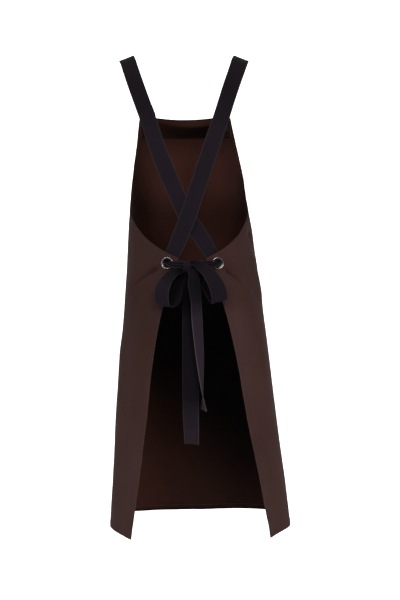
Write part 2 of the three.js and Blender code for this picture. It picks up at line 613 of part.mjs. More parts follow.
for (const [name, place] of Object.entries(eyelets)) {
  const mesh = addPiece(`eyelet_${name}`, eyeletGeometry(0), nickel);
  mesh.position.copy(place.at);
  mesh.quaternion.copy(place.turn);
}

addPiece('bow_knot', knotGeometry(0), tape);
const knotRoom = knotGeometry(seatGap);
const strapStep = 15;
const bowStep = 9;
addPiece('strap_left', cutBy(ribbon(strapStations(-1), strapStep), knotRoom), tape);
addPiece('strap_right', cutBy(ribbon(strapStations(1), strapStep), knotRoom), tape);
addPiece('bow_loop_left', cutBy(ribbon(bowStations(loopLeft, loopDrop), bowStep), knotRoom), tape);
addPiece('bow_loop_right', cutBy(ribbon(bowStations(loopRight, loopDrop), bowStep), knotRoom), tape);
addPiece('bow_tail_left', cutBy(ribbon(bowStations(tailLeft, leftTailLength), strapStep), knotRoom), tape);
addPiece('bow_tail_right', cutBy(ribbon(bowStations(tailRight, rightTailLength), strapStep), knotRoom), tape);

export default apron;
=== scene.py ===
# Cross-back bib apron of cotton canvas, tied behind with a bow, in its worn form: the canvas panel with its
# turned hems, the facing inside the bib, two woven tape straps, two nickel eyelets, and the bow.
import functools
import math

import bpy
import numpy as np
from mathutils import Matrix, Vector, noise


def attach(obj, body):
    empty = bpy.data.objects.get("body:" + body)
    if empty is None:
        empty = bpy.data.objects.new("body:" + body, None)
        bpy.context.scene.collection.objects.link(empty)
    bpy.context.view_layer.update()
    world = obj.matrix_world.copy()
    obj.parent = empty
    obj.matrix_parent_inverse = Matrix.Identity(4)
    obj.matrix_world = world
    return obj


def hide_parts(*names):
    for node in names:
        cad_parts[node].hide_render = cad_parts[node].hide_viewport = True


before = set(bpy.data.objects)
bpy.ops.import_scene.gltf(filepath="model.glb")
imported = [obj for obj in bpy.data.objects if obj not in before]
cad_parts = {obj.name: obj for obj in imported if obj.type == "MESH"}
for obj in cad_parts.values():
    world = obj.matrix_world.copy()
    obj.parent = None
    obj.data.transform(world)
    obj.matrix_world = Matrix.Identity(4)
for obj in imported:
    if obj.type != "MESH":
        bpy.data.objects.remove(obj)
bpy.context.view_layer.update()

# Camera, floor and light
# The apron is seen from behind, from a little above the hips and looking slightly down. It hangs over a pale
# studio sweep. Two soft lights stand high on both sides of the camera, and one hangs above the shoulders.
photo_rows = 600
focal_pixels = 847
film_height = 36.0
camera_place = (0.035, -1.863, -0.449)
camera_dip = 2.569  # degrees below level
camera = bpy.data.objects.new("camera", bpy.data.cameras.new("camera"))
camera.data.sensor_fit = "VERTICAL"
camera.data.sensor_height = film_height
camera.data.lens = film_height * focal_pixels / photo_rows
camera.location = camera_place
camera.rotation_euler = (math.radians(90 - camera_dip), 0, 0)
scene = bpy.context.scene
scene.collection.objects.link(camera)
scene.camera = camera
scene.view_settings.view_transform = "Standard"

floor_height = -1.4
sweep_half = 6.0
sweep_back = 3.2
sweep_radius = 1.2
sweep_top = 3.5


def sweep_outline():
    """The sweep's side view: floor, a quarter round, and the wall behind."""
    corner = [i * math.pi / 32 for i in range(17)]
    round_part = [
        (sweep_back - sweep_radius + sweep_radius * math.sin(turn),
         floor_height + sweep_radius - sweep_radius * math.cos(turn))
        for turn in corner
    ]
    return [(-sweep_half, floor_height)] + round_part + [(sweep_back, sweep_top)]


class Wire:
    """One output of a shader's node. Arithmetic on it adds Math nodes."""

    def __init__(self, tree, socket=None):
        self.tree = tree
        self.socket = socket

    def feed(self, node, inputs):
        """Links the wires among a node's inputs, and sets the other values."""
        for name, value in inputs.items():
            if isinstance(value, Wire):
                self.tree.links.new(value.socket, node.inputs[name])
            else:
                node.inputs[name].default_value = value

    def node(self, kind, inputs, output=0, stops=(), **settings):
        """One output of a new node. A ramp's stops are pairs of a position and a grey."""
        made = self.tree.nodes.new("ShaderNode" + kind)
        for name, value in settings.items():
            setattr(made, name, value)
        for i, (position, grey) in enumerate(stops):
            elements = made.color_ramp.elements
            stop = elements[i] if i < 2 else elements.new(position)
            stop.position = position
            stop.color = (grey, grey, grey, 1)
        self.feed(made, inputs)
        return Wire(self.tree, made.outputs[output])

    def math(self, operation, *others):
        return self.node("Math", dict(enumerate((self, *others))), operation=operation)

    def __add__(self, other):
        return self.math("ADD", other)

    def __sub__(self, other):
        return self.math("SUBTRACT", other)

    def __rsub__(self, other):
        return self.node("Math", {0: other, 1: self}, operation="SUBTRACT")

    def __mul__(self, other):
        return self.math("MULTIPLY", other)

    def __truediv__(self, other):
        return self.math("DIVIDE", other)

    def __abs__(self):
        return self.math("ABSOLUTE")

    __radd__ = __add__
    __rmul__ = __mul__

    def part(self, axis):
        """The X, Y or Z of this place."""
        return self.node("SeparateXYZ", {0: self}, axis)

    def between(self, low, high):
        """0 up to low, 1 from high, and smooth between."""
        ends = {"Value": self, "From Min": low, "From Max": high}
        return self.node("MapRange", ends, interpolation_type="SMOOTHSTEP")

    def wave(self):
        """Rounded ridges, one for each whole number."""
        return abs((self * math.pi).math("SINE"))

    def mix(self, factor, other):
        """This colour going over to another one."""
        return self.node("Mix", {0: factor, 6: self, 7: other}, output=2, data_type="RGBA")

    def scaled(self, factor):
        return self.node("VectorMath", {0: self, "Scale": factor}, operation="SCALE")

    def bump(self, strength, distance):
        """The unevenness that this height gives a surface."""
        return self.node("Bump", {"Height": self, "Strength": strength, "Distance": distance})


def bare_material(name):
    """A new material, its shader node, and an empty wire to make its other nodes from."""
    material = bpy.data.materials.new(name)
    material.use_nodes = True
    return material, material.node_tree.nodes["Principled BSDF"], Wire(material.node_tree)


def paper_material():
    """White paper, lit from within. Its glow fades towards the camera's side and to the left and right."""
    material, shader, start = bare_material("white_paper")
    place = start.node("TexCoord", {}, "Object")
    far = 0.2 + 0.8 * place.part("Y").between(-1.4, 0.45)
    near_middle = place.node("MapRange", {
        "Value": abs(place.part("X")), "From Min": 1.3, "From Max": 2.4, "To Min": 1.0, "To Max": 0.3,
    })
    start.feed(shader, {
        "Base Color": (0.9, 0.9, 0.9, 1), "Roughness": 0.9,
        "Emission Color": far * near_middle, "Emission Strength": 1.0,
    })
    return material


outline = sweep_outline()
sweep_mesh = bpy.data.meshes.new("floor")
sweep_mesh.from_pydata(
    [(x, y, z) for y, z in outline for x in (-sweep_half, sweep_half)],
    [],
    [(2 * i, 2 * i + 1, 2 * i + 3, 2 * i + 2) for i in range(len(outline) - 1)],
)
sweep_mesh.shade_smooth()
sweep_mesh.materials.append(paper_material())
sweep = bpy.data.objects.new("floor", sweep_mesh)
scene.collection.objects.link(sweep)


def soft_light(name, place, aim, width, height, power):
    lamp = bpy.data.lights.new(name, "AREA")
    lamp.shape = "RECTANGLE"
    lamp.size = width
    lamp.size_y = height
    lamp.energy = power
    holder = bpy.data.objects.new(name, lamp)
    holder.location = place
    holder.rotation_euler = (Vector(aim) - Vector(place)).to_track_quat("-Z", "Y").to_euler()
    scene.collection.objects.link(holder)


apron_middle = (0.02, 0.0, -0.55)
soft_light("light_left", (-1.2, -2.2, 1.2), apron_middle, 0.9, 1.2, 38)
soft_light("light_right", (0.7, -2.5, 1.1), apron_middle, 0.8, 1.1, 50)
soft_light("light_top", (0.0, -0.5, 1.5), (0.0, 0.1, -0.4), 1.0, 0.8, 12)

world = bpy.data.worlds.new("studio")
world.use_nodes = True
world.node_tree.nodes["Background"].inputs["Color"].default_value = (1.0, 0.95, 0.91, 1)
world.node_tree.nodes["Background"].inputs["Strength"].default_value = 0.22
scene.world = world

# Apron panel
# One cloth of dark brown cotton canvas: bib, skirt and the two flaps that wrap round behind. Its edges are
# turned in twice and stitched, and it hangs in soft folds with creases where the eyelets pull.
cloth_width = 0.794
bib_width = 0.224
bib_height = 0.320
skirt_length = 0.592
canvas_wall = 0.0014
side_hem = 0.009
bottom_hem = 0.015
facing_depth = 0.041
bib_drop = 0.1215
hip_half_width = 0.198
front_depth = 0.112
back_depth = 0.125
sway = 0.035
hem_turn = 2.2
fold_width = 0.030
fold_rise = 0.005
crease_width = 0.009
crease_rise = 0.0044
edge_lift = 0.0032  # the straps pull up the bib's top edge beside them
lift_reach = 0.6  # share of the bib's half width over which the pull grows
lift_level = 0.3  # level at which it has died out
corner_from = 0.75  # share of the half width past which the edge sinks again to its corner
corner_slope = 4
corner_right = 0.2  # how much of that the right corner does
seat_gap = 0.00035
back_drop = bib_drop + bib_height
skirt_foot = -back_drop - skirt_length
cloth_half = cloth_width / 2


def table(columns, *rows):
    """The rows of a table as dictionaries, with the names of its columns given once."""
    return [dict(zip(columns.split(), row)) for row in rows]


# Level 0 is the top edge of the bib, level 1 the flaps' top corners and level 2 the hem. Shares: middle of
# sway, side of hip_half_width, turn of hem_turn, front of front_depth, back of back_depth.
sections = table(
    "level middle side turn front back square_front square_back",
    (0.00, 0.02, 0.680, 0.0, 0.965, 0.86, 2.1, 2.10),
    (0.40, 0.22, 0.642, 0.0, 0.990, 0.90, 2.1, 2.30),
    (0.60, 0.28, 0.636, 0.0, 0.995, 0.93, 2.2, 2.50),
    (0.80, 0.39, 0.672, 0.2, 1.000, 0.97, 2.3, 2.60),
    (1.00, 0.50, 0.708, 0.4, 1.000, 1.00, 2.5, 2.60),
    (1.12, 0.56, 0.741, 0.3, 1.000, 1.10, 2.7, 2.70),
    (1.19, 0.61, 0.765, 0.1, 1.005, 1.13, 2.9, 2.60),
    (1.32, 0.68, 0.810, 0.0, 1.010, 1.20, 3.2, 2.20),
    (1.55, 0.78, 0.884, 0.3, 1.025, 1.33, 3.8, 1.65),
    (1.78, 0.92, 0.944, 0.7, 1.035, 1.60, 4.5, 1.40),
    (2.00, 1.00, 1.000, 1.0, 1.045, 1.92, 5.2, 1.28),
)

# The curved edge from the bib's top corner to the flap's top corner.
armhole = table(
    "along level spread",
    (0.00, 0.012, 0.0),
    (0.15, 0.17, 0.045),
    (0.30, 0.36, 0.125),
    (0.45, 0.56, 0.25),
    (0.58, 0.69, 0.43),
    (0.70, 0.79, 0.60),
    (0.80, 0.87, 0.72),
    (0.90, 0.94, 0.85),
    (1.00, 1.00, 1.00),
)

# Soft folds: start and end across (share of the half width) and down, width of fold_width, rise of fold_rise.
folds = table(
    "across level to_across to_level wide rise",
    (-0.90, 1.03, -0.75, 1.08, 0.7, 0.5),
    (-0.86, 1.06, -0.77, 1.12, 0.6, -0.5),
    (0.90, 1.04, 0.76, 1.12, 0.6, -0.7),
    (0.72, 0.98, 0.64, 1.12, 0.8, 0.5),
    (0.63, 0.84, 0.60, 0.95, 0.6, -1.0),
    (-0.72, 1.35, -0.78, 2.00, 1.2, 0.9),
    (-0.30, 1.50, -0.34, 2.00, 1.6, -0.9),
    (0.18, 1.60, 0.22, 2.00, 1.7, 0.7),
    (0.80, 1.30, 0.76, 2.00, 1.1, 1.0),
    (-0.10, 0.15, 0.00, 0.70, 1.8, 0.7),
)

# Sharper creases, in the same columns, with width of crease_width and rise of crease_rise.
creases = table(
    "across level to_across to_level wide rise",
    (-0.909, 1.027, -0.80, 1.086, 0.7, -1.7),
    (-0.90, 1.045, -0.82, 1.092, 0.5, -0.9),
    (-0.86, 1.060, -0.80, 1.110, 0.8, 0.8),
    (0.912, 1.040, 0.83, 1.095, 0.7, -1.9),
    (0.88, 1.060, 0.78, 1.150, 0.8, 0.7),
    (0.64, 0.860, 0.62, 0.930, 0.8, -1.6),
    (0.66, 0.990, 0.60, 1.080, 1.0, -0.9),
    (-0.62, 0.900, -0.70, 1.000, 1.2, -0.6),
)


def along(rows, key, at, column):
    """One column of a table at a value of its first column, on a smooth curve through the rows."""
    i = 0
    while i < len(rows) - 2 and at > rows[i + 1][key]:
        i += 1

    def slope(j):
        a = rows[max(j - 1, 0)]
        b = rows[min(j + 1, len(rows) - 1)]
        return (b[column] - a[column]) / (b[key] - a[key])

    low, high = rows[i], rows[i + 1]
    span = high[key] - low[key]
    t = min(max((at - low[key]) / span, 0.0), 1.0)
    ease = t * t * (3 - 2 * t)
    bend = slope(i) * t * (1 - t) ** 2 - slope(i + 1) * t * t * (1 - t)
    return low[column] + (high[column] - low[column]) * ease + span * bend


def height_at(level):
    level = np.asarray(level, float)
    on_skirt = -back_drop - (level - 1) * skirt_length
    return np.where(level <= 1, -bib_drop - level * bib_height, on_skirt)


level_step = 0.005
level_steps = round(2 / level_step)
section_samples = 220


@functools.lru_cache(maxsize=None)
def section_at(step):
    """Half of a level section, from the middle of the front round the right side to the middle of the
    back: its places, its run, and how far it is moved and turned."""
    value = {column: along(sections, "level", step * level_step, column) for column in sections[0]}
    turn = np.pi * np.arange(section_samples + 1) / section_samples
    ahead = np.cos(turn)
    square = np.where(ahead >= 0, value["square_front"], value["square_back"])
    depth = np.where(ahead >= 0, value["front"] * front_depth, -value["back"] * back_depth)
    x = value["side"] * hip_half_width * np.abs(np.sin(turn)) ** (2 / square)
    y = depth * np.abs(ahead) ** (2 / square)
    run = np.concatenate([[0], np.cumsum(np.hypot(np.diff(x), np.diff(y)))])
    return x, y, run, value["middle"] * sway, math.radians(value["turn"] * hem_turn)


def rise_of(rows, width, rise, across, level, taper=0):
    """How far folds or creases lift the cloth at each place; taper makes them run out at their end."""
    here = np.stack([across, height_at(level)], axis=-1)
    total = np.zeros(across.shape)
    for row in rows:
        start = np.array([row["across"] * cloth_half, height_at(row["level"])])
        way = np.array([row["to_across"] * cloth_half, height_at(row["to_level"])]) - start
        share = np.clip((here - start) @ way / (way @ way), 0, 1)
        off = np.linalg.norm(here - start - share[..., None] * way, axis=-1) / (row["wide"] * width)
        total += row["rise"] * rise * np.exp(-off * off) * (1 - taper * share ** 3)
    return total


def on_section(step, across, rise):
    """Places on one level section, at flat distances across from the middle of the front."""
    x, y, run, middle, turn = section_at(step)
    reach = np.minimum(np.abs(across), run[-1] - 1e-5)
    i = np.clip(np.searchsorted(run, reach, side="right") - 1, 0, len(run) - 2)
    way = np.stack([x[i + 1] - x[i], y[i + 1] - y[i]])
    way /= np.linalg.norm(way, axis=0)
    flat_x = np.where(across < 0, -1, 1) * (np.interp(reach, run, x) - way[1] * rise)
    flat_y = np.interp(reach, run, y) + way[0] * rise
    turned_x = flat_x * math.cos(turn) - flat_y * math.sin(turn)
    turned_y = flat_x * math.sin(turn) + flat_y * math.cos(turn)
    return np.stack([middle + turned_x, turned_y, np.zeros_like(flat_x)], axis=-1)


def drape(across, level):
    """The cloth's middle surface, for arrays of flat distances across and levels down."""
    across, level = np.broadcast_arrays(np.asarray(across, float), np.asarray(level, float))
    rise = rise_of(folds, fold_width, fold_rise, across, level)
    place = np.zeros(across.shape + (3,))
    step = np.clip((level / level_step).astype(int), 0, level_steps - 1)
    for low in np.unique(step):
        here = step == low
        share = (level[here] / level_step - low)[:, None]
        from_low = on_section(low, across[here], rise[here])
        from_high = on_section(low + 1, across[here], rise[here])
        place[here] = from_low * (1 - share) + from_high * share
    share = np.minimum(np.abs(across) / (bib_width / 2), 1)
    corner = corner_slope * np.where(across < 0, 1, corner_right) * np.clip(share - corner_from, 0, 1)
    beside_strap = np.minimum(share / lift_reach, 1) ** 2 - corner
    place[..., 2] = height_at(level) + edge_lift * beside_strap * np.clip(1 - level / lift_level, 0, 1) ** 2
    return place


across_step = 0.002
down_step = 0.006


def normal_of(surface, across, level):
    wide = surface(across + across_step, level) - surface(across - across_step, level)
    deep = surface(across, level + down_step) - surface(across, level - down_step)
    normal = np.cross(wide, deep)
    return normal / np.linalg.norm(normal, axis=-1, keepdims=True)


def spot(across, level):
    """One place on the cloth's middle surface, and the way out from it."""
    across, level = np.array([across]), np.array([level])
    return drape(across, level)[0], normal_of(drape, across, level)[0]


eyelet_inset = 0.021
eyelet_drop = 0.010
eyelet_bore = 0.015
eyelet_barrel = 0.0008
eyelet_across = cloth_half - eyelet_inset
eyelet_level = 1 + eyelet_drop / skirt_length
hole_radius = eyelet_bore / 2 + eyelet_barrel + seat_gap


def from_eyelet(across, level):
    """Flat distance of each place from the nearer eyelet's middle, and the way to it from there."""
    sideways = across - np.sign(across) * eyelet_across
    downward = height_at(level) - height_at(eyelet_level)
    return np.hypot(sideways, downward), sideways, downward


# Unevenness of the hanging cloth: how often it comes across and down, its seed, and its rise.
wrinkles = table(
    "across down seed rise where",
    (11, 3.2, 11, 0.0016, "whole"),
    (17, 1.3, 13, 0.0028, "skirt"),
    (31, 12, 16, 0.0007, "whole"),
    (80, 60, 20, 0.00018, "whole"),
)
skirt_from = -0.46  # height below which the skirt's own wrinkles grow
skirt_full = 0.3
eyelet_flat = 0.013  # round the eyelets the cloth is pressed flat
eyelet_fade = 0.012


def noise_over(first, second, third):
    """Smooth noise for arrays of two coordinates and one third one."""
    values = [noise.noise((a, b, third)) for a, b in zip(np.ravel(first), np.ravel(second))]
    return np.array(values).reshape(np.shape(first))


def wrinkle(across, level):
    """Small unevenness of the hanging cloth, longer down than across, and flat under the eyelets."""
    height = height_at(level)
    on_skirt = np.clip((skirt_from - height) / skirt_full, 0, 1)
    soft = np.zeros(across.shape)
    for row in wrinkles:
        strength = on_skirt if row["where"] == "skirt" else 1
        soft += noise_over(across * row["across"], height * row["down"], row["seed"]) * row["rise"] * strength
    soft += rise_of(creases, crease_width, crease_rise, across, level, taper=1)
    away = from_eyelet(across, level)[0]
    return soft * np.clip((away - eyelet_flat) / eyelet_fade, 0, 1) ** 2


def panel_row(down):
    """Half width and edge level of a row: on the bib it ends on the armhole."""
    spread = along(armhole, "along", down, "spread") if down < 1 else 1
    edge_level = along(armhole, "along", down, "level") if down < 1 else down
    return bib_width / 2 + (cloth_half - bib_width / 2) * spread, edge_level


row_bend = 3  # power of the curve in which a row of the bib runs out to the armhole


def level_on_row(down, half, edge_level, across):
    return down + (edge_level - down) * np.abs(across / half) ** row_bend


most_slant = 3.0


def slant_of(down):
    """How much longer a distance from the edge is along the row than square to the edge."""
    if down >= 1:
        return 1.0
    step = 0.01
    low, high = panel_row(down - step), panel_row(min(down + step, 0.999))
    half, edge_level = panel_row(down)
    edge = np.array([high[0] - low[0], (high[1] - low[1]) * bib_height])
    row = np.array([half, row_bend * (edge_level - down) * bib_height])
    edge, row = edge / np.linalg.norm(edge), row / np.linalg.norm(row)
    return min(1 / abs(edge[0] * row[1] - edge[1] * row[0]), most_slant)


# A hem's section, from the edge inwards: how far its outside and inside lie from the cloth's middle. The
# stitch line pulls the layers together, and past the fold there is one layer again.
hem_shape = table(
    "from_edge outer inner",
    (0.0000, 0.0003, 0.0003),
    (0.0006, 0.0009, 0.0010),
    (0.0022, 0.0011, 0.0013),
    (0.0042, 0.0011, 0.0013),
    (0.0055, 0.0007, 0.0009),
    (0.0070, 0.0010, 0.0013),
    (0.0090, 0.0007, 0.0007),
)
stitch_in = 0.0055  # stitch line from the edge of a side hem
panel_columns = 176
bib_rows = 76
skirt_rows = 114
first_row = 0.009


def hem_distances(hem):
    """Distances from the edge at which a hem of this depth has its rows."""
    wider = hem - side_hem
    return [row["from_edge"] + (wider if row["from_edge"] > 0.003 else 0) for row in hem_shape]


def wall_at(distance, hem):
    """How far the outside and inside lie from the cloth's middle, at distances from a hemmed edge."""
    at = hem_distances(hem)
    outer = np.interp(distance, at, [row["outer"] for row in hem_shape])
    inner = np.interp(distance, at, [row["inner"] for row in hem_shape])
    return outer, inner


def panel_grid():
    """Flat places of the panel's mesh, by row and column, and how far each is from the side and bottom."""
    top = [0, 0.0006, 0.0020, 0.0050]
    bottom = [skirt_length - distance for distance in reversed(hem_distances(bottom_hem))]
    bib = np.linspace(first_row, bib_height, bib_rows) / bib_height
    skirt = 1 + np.linspace(0.004, bottom[0] - 0.004, skirt_rows) / skirt_length
    downs = [d / bib_height for d in top] + list(bib) + list(skirt) + [1 + d / skirt_length for d in bottom]
    across, level, from_side, from_bottom = [], [], [], []
    for down in downs:
        half, edge_level = panel_row(down)
        slant = slant_of(down)
        hem = np.array(hem_distances(side_hem)) * slant
        middle = np.linspace(-half + hem[-1], half - hem[-1], panel_columns)
        row = np.concatenate([hem[:-1] - half, middle, half - hem[-2::-1]])
        across.append(row)
        level.append(level_on_row(down, half, edge_level, row))
        from_side.append((half - np.abs(row)) / slant)
        from_bottom.append(np.full(row.shape, (2 - down) * skirt_length))
    return [np.array(part) for part in (across, level, from_side, from_bottom)]


def facing_out(mesh):
    """Turns a closed mesh's faces so that they look outwards."""
    mesh.calc_loop_triangles()
    corners = np.empty(len(mesh.loop_triangles) * 3, int)
    mesh.loop_triangles.foreach_get("vertices", corners)
    places = np.empty(len(mesh.vertices) * 3)
    mesh.vertices.foreach_get("co", places)
    a, b, c = places.reshape(-1, 3)[corners.reshape(-1, 3)].transpose(1, 0, 2)
    if np.sum(a * np.cross(b, c)) < 0:
        mesh.flip_normals()
    return mesh


def wall_mesh(name, outer, inner, flat, gone=None):
    """A closed wall of cloth between its outside and inside, arrays of places by row and column."""
    rows, columns = outer.shape[:2]
    layer = rows * columns
    index = np.arange(layer).reshape(rows, columns)
    kept = np.ones((rows - 1, columns - 1), bool) if gone is None else ~gone
    r, c = np.nonzero(kept)
    quads = np.stack([index[r, c], index[r, c + 1], index[r + 1, c + 1], index[r + 1, c]], axis=1)
    sides = np.concatenate([quads[:, [i, (i + 1) % 4]] for i in range(4)])
    rim = sides[~np.isin(sides[:, 0] * layer + sides[:, 1], sides[:, 1] * layer + sides[:, 0])]
    walls = np.stack([rim[:, 1], rim[:, 0], rim[:, 0] + layer, rim[:, 1] + layer], axis=1)
    faces = np.concatenate([quads, quads[:, ::-1] + layer, walls])
    used, renamed = np.unique(faces, return_inverse=True)
    places = np.concatenate([outer.reshape(-1, 3), inner.reshape(-1, 3)])[used]
    flat_places = np.concatenate([flat.reshape(-1, 2)] * 2)[used]
    mesh = bpy.data.meshes.new(name)
    mesh.from_pydata(places.tolist(), [], renamed.reshape(-1, 4).tolist())
    corner = np.empty(len(mesh.loops), int)
    mesh.loops.foreach_get("vertex_index", corner)
    mesh.uv_layers.new(name="flat").data.foreach_set("uv", flat_places[corner].ravel())
    inside = mesh.attributes.new("inside", "FLOAT", "POINT")
    inside.data.foreach_set("value", (used >= layer).astype(np.float32))
    mesh.shade_smooth()
    return facing_out(mesh)


def colour(start, rgb):
    """A fixed colour as a wire, to be mixed or scaled."""
    return start.node("CombineXYZ", {"X": rgb[0], "Y": rgb[1], "Z": rgb[2]})


def flat_place(start):
    """Places on the flat cloth in metres: the whole vector, across and down."""
    whole = start.node("UVMap", {}, uv_map="flat")
    return whole, whole.part("X"), whole.part("Y")


def noise_at(place, scale, detail=2.0, stretch=(1, 1, 1)):
    moved = place.node("Mapping", {"Vector": place, "Scale": stretch})
    return place.node("TexNoise", {"Vector": moved, "Scale": scale, "Detail": detail}, "Fac")


def plain_weave(across, down, pitch):
    """Height of a plain weave: at each crossing one thread lies over the other."""
    warp, weft = across / pitch, down / pitch
    over = (warp.math("FLOOR") + weft.math("FLOOR")).math("PINGPONG", 1.0)
    warp_crown, weft_crown = warp.wave(), weft.wave()
    warp_high = warp_crown * (weft_crown * 0.5 + 0.5)
    weft_high = weft_crown * (warp_crown * 0.5 + 0.5)
    return warp_high * (1 - over) + weft_high * over


canvas_outside = (0.0350, 0.0155, 0.0128)
canvas_inside = (0.031, 0.0105, 0.0075)
canvas_mauve = (0.0385, 0.0190, 0.0185)
canvas_worn = (0.085, 0.052, 0.045)
thread_pitch = 0.0011


def panel_shade(across, down):
    """The inside is lit best in the middle of the bib, and darkest high in the skirt, behind the bow."""
    lit = 0.62 + 0.62 * down.between(-0.150, -0.225) - 0.56 * down.between(-0.265, -0.350)
    slanted = down + across * 0.8
    deep = down.between(-back_drop + 0.01, -back_drop - 0.06) - 0.75 * slanted.between(-0.73, -1.03)
    aside = abs(across).between(0.04, 0.12) * down.between(-0.42, -0.30)
    right = 1 - 0.5 * across.between(-0.13, 0.01) * down.between(-0.45, -0.60)
    low = lit + (1.10 - lit) * down.between(-0.55, -0.75)
    edge = 1 - 0.6 * down.between(skirt_foot + 0.010, skirt_foot + 0.004)
    return (1 - 0.95 * deep) * low * (1 - 0.32 * aside) * right * edge


# Painted shade along the sharpest crease from each eyelet: its ends on the flat cloth, and how much
# darker it is painted.
crease_shadows = table(
    "start end darker",
    ((-0.368, -0.452), (-0.304, -0.502), 0.30),
    ((0.369, -0.458), (0.331, -0.496), 0.34),
)
crease_shadow_half_width = 0.0060


def crease_line(across, down, start, end):
    """1 along the bottom of a sharp crease between two flat places, and 0 beside it and past its ends."""
    length = math.dist(start, end)
    way_x, way_y = (end[0] - start[0]) / length, (end[1] - start[1]) / length
    from_x, from_y = across - start[0], down - start[1]
    off = from_x * way_y - from_y * way_x
    share = (from_x * way_x + from_y * way_y) / length
    return abs(off).between(crease_shadow_half_width, 0) * share.between(-0.05, 0.3) * share.between(1.1, 0.5)


def panel_outside_shade(across, down):
    """Painted light and shade on the outside: a little paler on the right flap, darker at the top of the
    left one and at the foot, and darker along the creases that run from the eyelets."""
    pale = across.between(0.12, 0.28) * down.between(-0.46, -0.62)
    dark = across.between(-0.18, -0.28) * down.between(-0.74, -0.58)
    shaded_creases = sum(crease_line(across, down, row["start"], row["end"]) * row["darker"] for row in crease_shadows)
    foot = down.between(skirt_foot + 0.006, skirt_foot + 0.001)
    return 1 + 0.24 * pale - 0.20 * dark - shaded_creases - 0.30 * foot


def canvas_material(name, outside, inside, half_width, shade, outside_shade=None):
    """Matte plain-weave canvas: slubby threads, a little worn at its side edges, redder inside. Shade and the
    last argument are functions of the flat place; they paint light and shade into the brightness of the
    inside and of the outside."""
    material, shader, start = bare_material(name)
    place, across, down = flat_place(start)
    weave = plain_weave(across, down, thread_pitch)
    slub = noise_at(place, 1.0, 3, (900, 60, 1)) + noise_at(place, 1.0, 3, (60, 900, 1))
    patches = noise_at(place, 9.0, 4)
    streaks = noise_at(place, 1.0, 3, (13, 4, 1)).between(0.2, 0.8)
    inner = start.node("Attribute", {}, "Fac", attribute_name="inside")
    tone = 0.62 + weave * 0.22 + (slub - 1) * 0.30 + patches * 0.42
    edge_wear = abs(across).between(half_width - 0.0022, half_width - 0.0002)
    worn = edge_wear * noise_at(place, 260.0, 3).between(0.35, 0.7) * 0.55
    outer = colour(start, outside).mix(streaks, colour(start, canvas_mauve))
    if outside_shade:
        outer = outer.scaled(outside_shade(across, down))
    base = outer.mix(inner, colour(start, inside).scaled(shade(across, down)))
    base = base.mix(worn, colour(start, canvas_worn)).scaled(tone)
    start.feed(shader, {
        "Base Color": base, "Roughness": 0.93 - weave * 0.08,
        "Normal": (weave + (slub - 1) * 0.5).bump(0.55, 0.00022),
        "Sheen Weight": 0.02, "Sheen Roughness": 0.55, "Sheen Tint": (0.85, 0.70, 0.68, 1),
        "Specular IOR Level": 0.04,
    })
    return material


canvas = canvas_material("canvas", canvas_outside, canvas_inside, cloth_half, panel_shade, panel_outside_shade)


def worn(across, level):
    """The cloth's middle surface with its wrinkles."""
    place = drape(across, level)
    return place + normal_of(drape, across, level) * wrinkle(across, level)[..., None]


# The stitching puckers the hems: how far in, how often in a metre, and how much.
pucker_reach = 0.007
pucker_count = 90
pucker_rise = 0.0006
pucker_seed = 2.5


def panel_mesh():
    across, level, from_side, from_bottom = panel_grid()
    away, sideways, downward = from_eyelet(across, level)
    in_hole = away < hole_radius
    push = np.where(in_hole, hole_radius / np.maximum(away, 1e-6), 1)
    across = across + sideways * (push - 1)
    level = np.where(in_hole, level - downward * (push - 1) / skirt_length, level)
    gone = in_hole[:-1, :-1] & in_hole[1:, :-1] & in_hole[:-1, 1:] & in_hole[1:, 1:]
    normal = normal_of(drape, across, level)
    side_outer, side_inner = wall_at(from_side, side_hem)
    bottom_outer, bottom_inner = wall_at(from_bottom, bottom_hem)
    rim = np.minimum(from_side, from_bottom) < 0.003
    outer = np.where(rim, np.minimum(side_outer, bottom_outer), np.maximum(side_outer, bottom_outer))
    inner = np.where(rim, np.minimum(side_inner, bottom_inner), np.maximum(side_inner, bottom_inner))
    height = height_at(level)
    near_edge = np.exp(-np.minimum(from_side, from_bottom) / pucker_reach)
    pucker = noise_over(across * pucker_count, height * pucker_count, pucker_seed)
    wavy = wrinkle(across, level) + near_edge * pucker * pucker_rise
    middle = drape(across, level) + normal * wavy[..., None]
    flat = np.stack([across, height], axis=-1)
    return wall_mesh(
        "apron_cloth", middle + normal * outer[..., None], middle - normal * inner[..., None], flat, gone
    )


def placed(name, mesh, material, slot, *nodes):
    """A finished piece: it takes its material, rides with the body, and stands for its solids."""
    piece = bpy.data.objects.new(name, mesh)
    scene.collection.objects.link(piece)
    piece.data.materials.append(material)
    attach(piece, "root")
    if nodes:
        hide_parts(*nodes)
    return piece


apron_cloth = placed("apron_cloth", panel_mesh(), canvas, "canvas", "apron_panel")

# Stitching of the panel
# Lockstitch in brown cotton thread, a little lighter than the cloth, 5.5 mm in from the side edges and near
# the top of the bottom hem, seen on both faces of the cloth.
stitch_pitch = 0.0034
stitch_length = 0.0027
stitch_width = 0.00055
stitch_outside = 0.0011  # height of the thread over the cloth's middle, outside and inside
stitch_inside = 0.0013


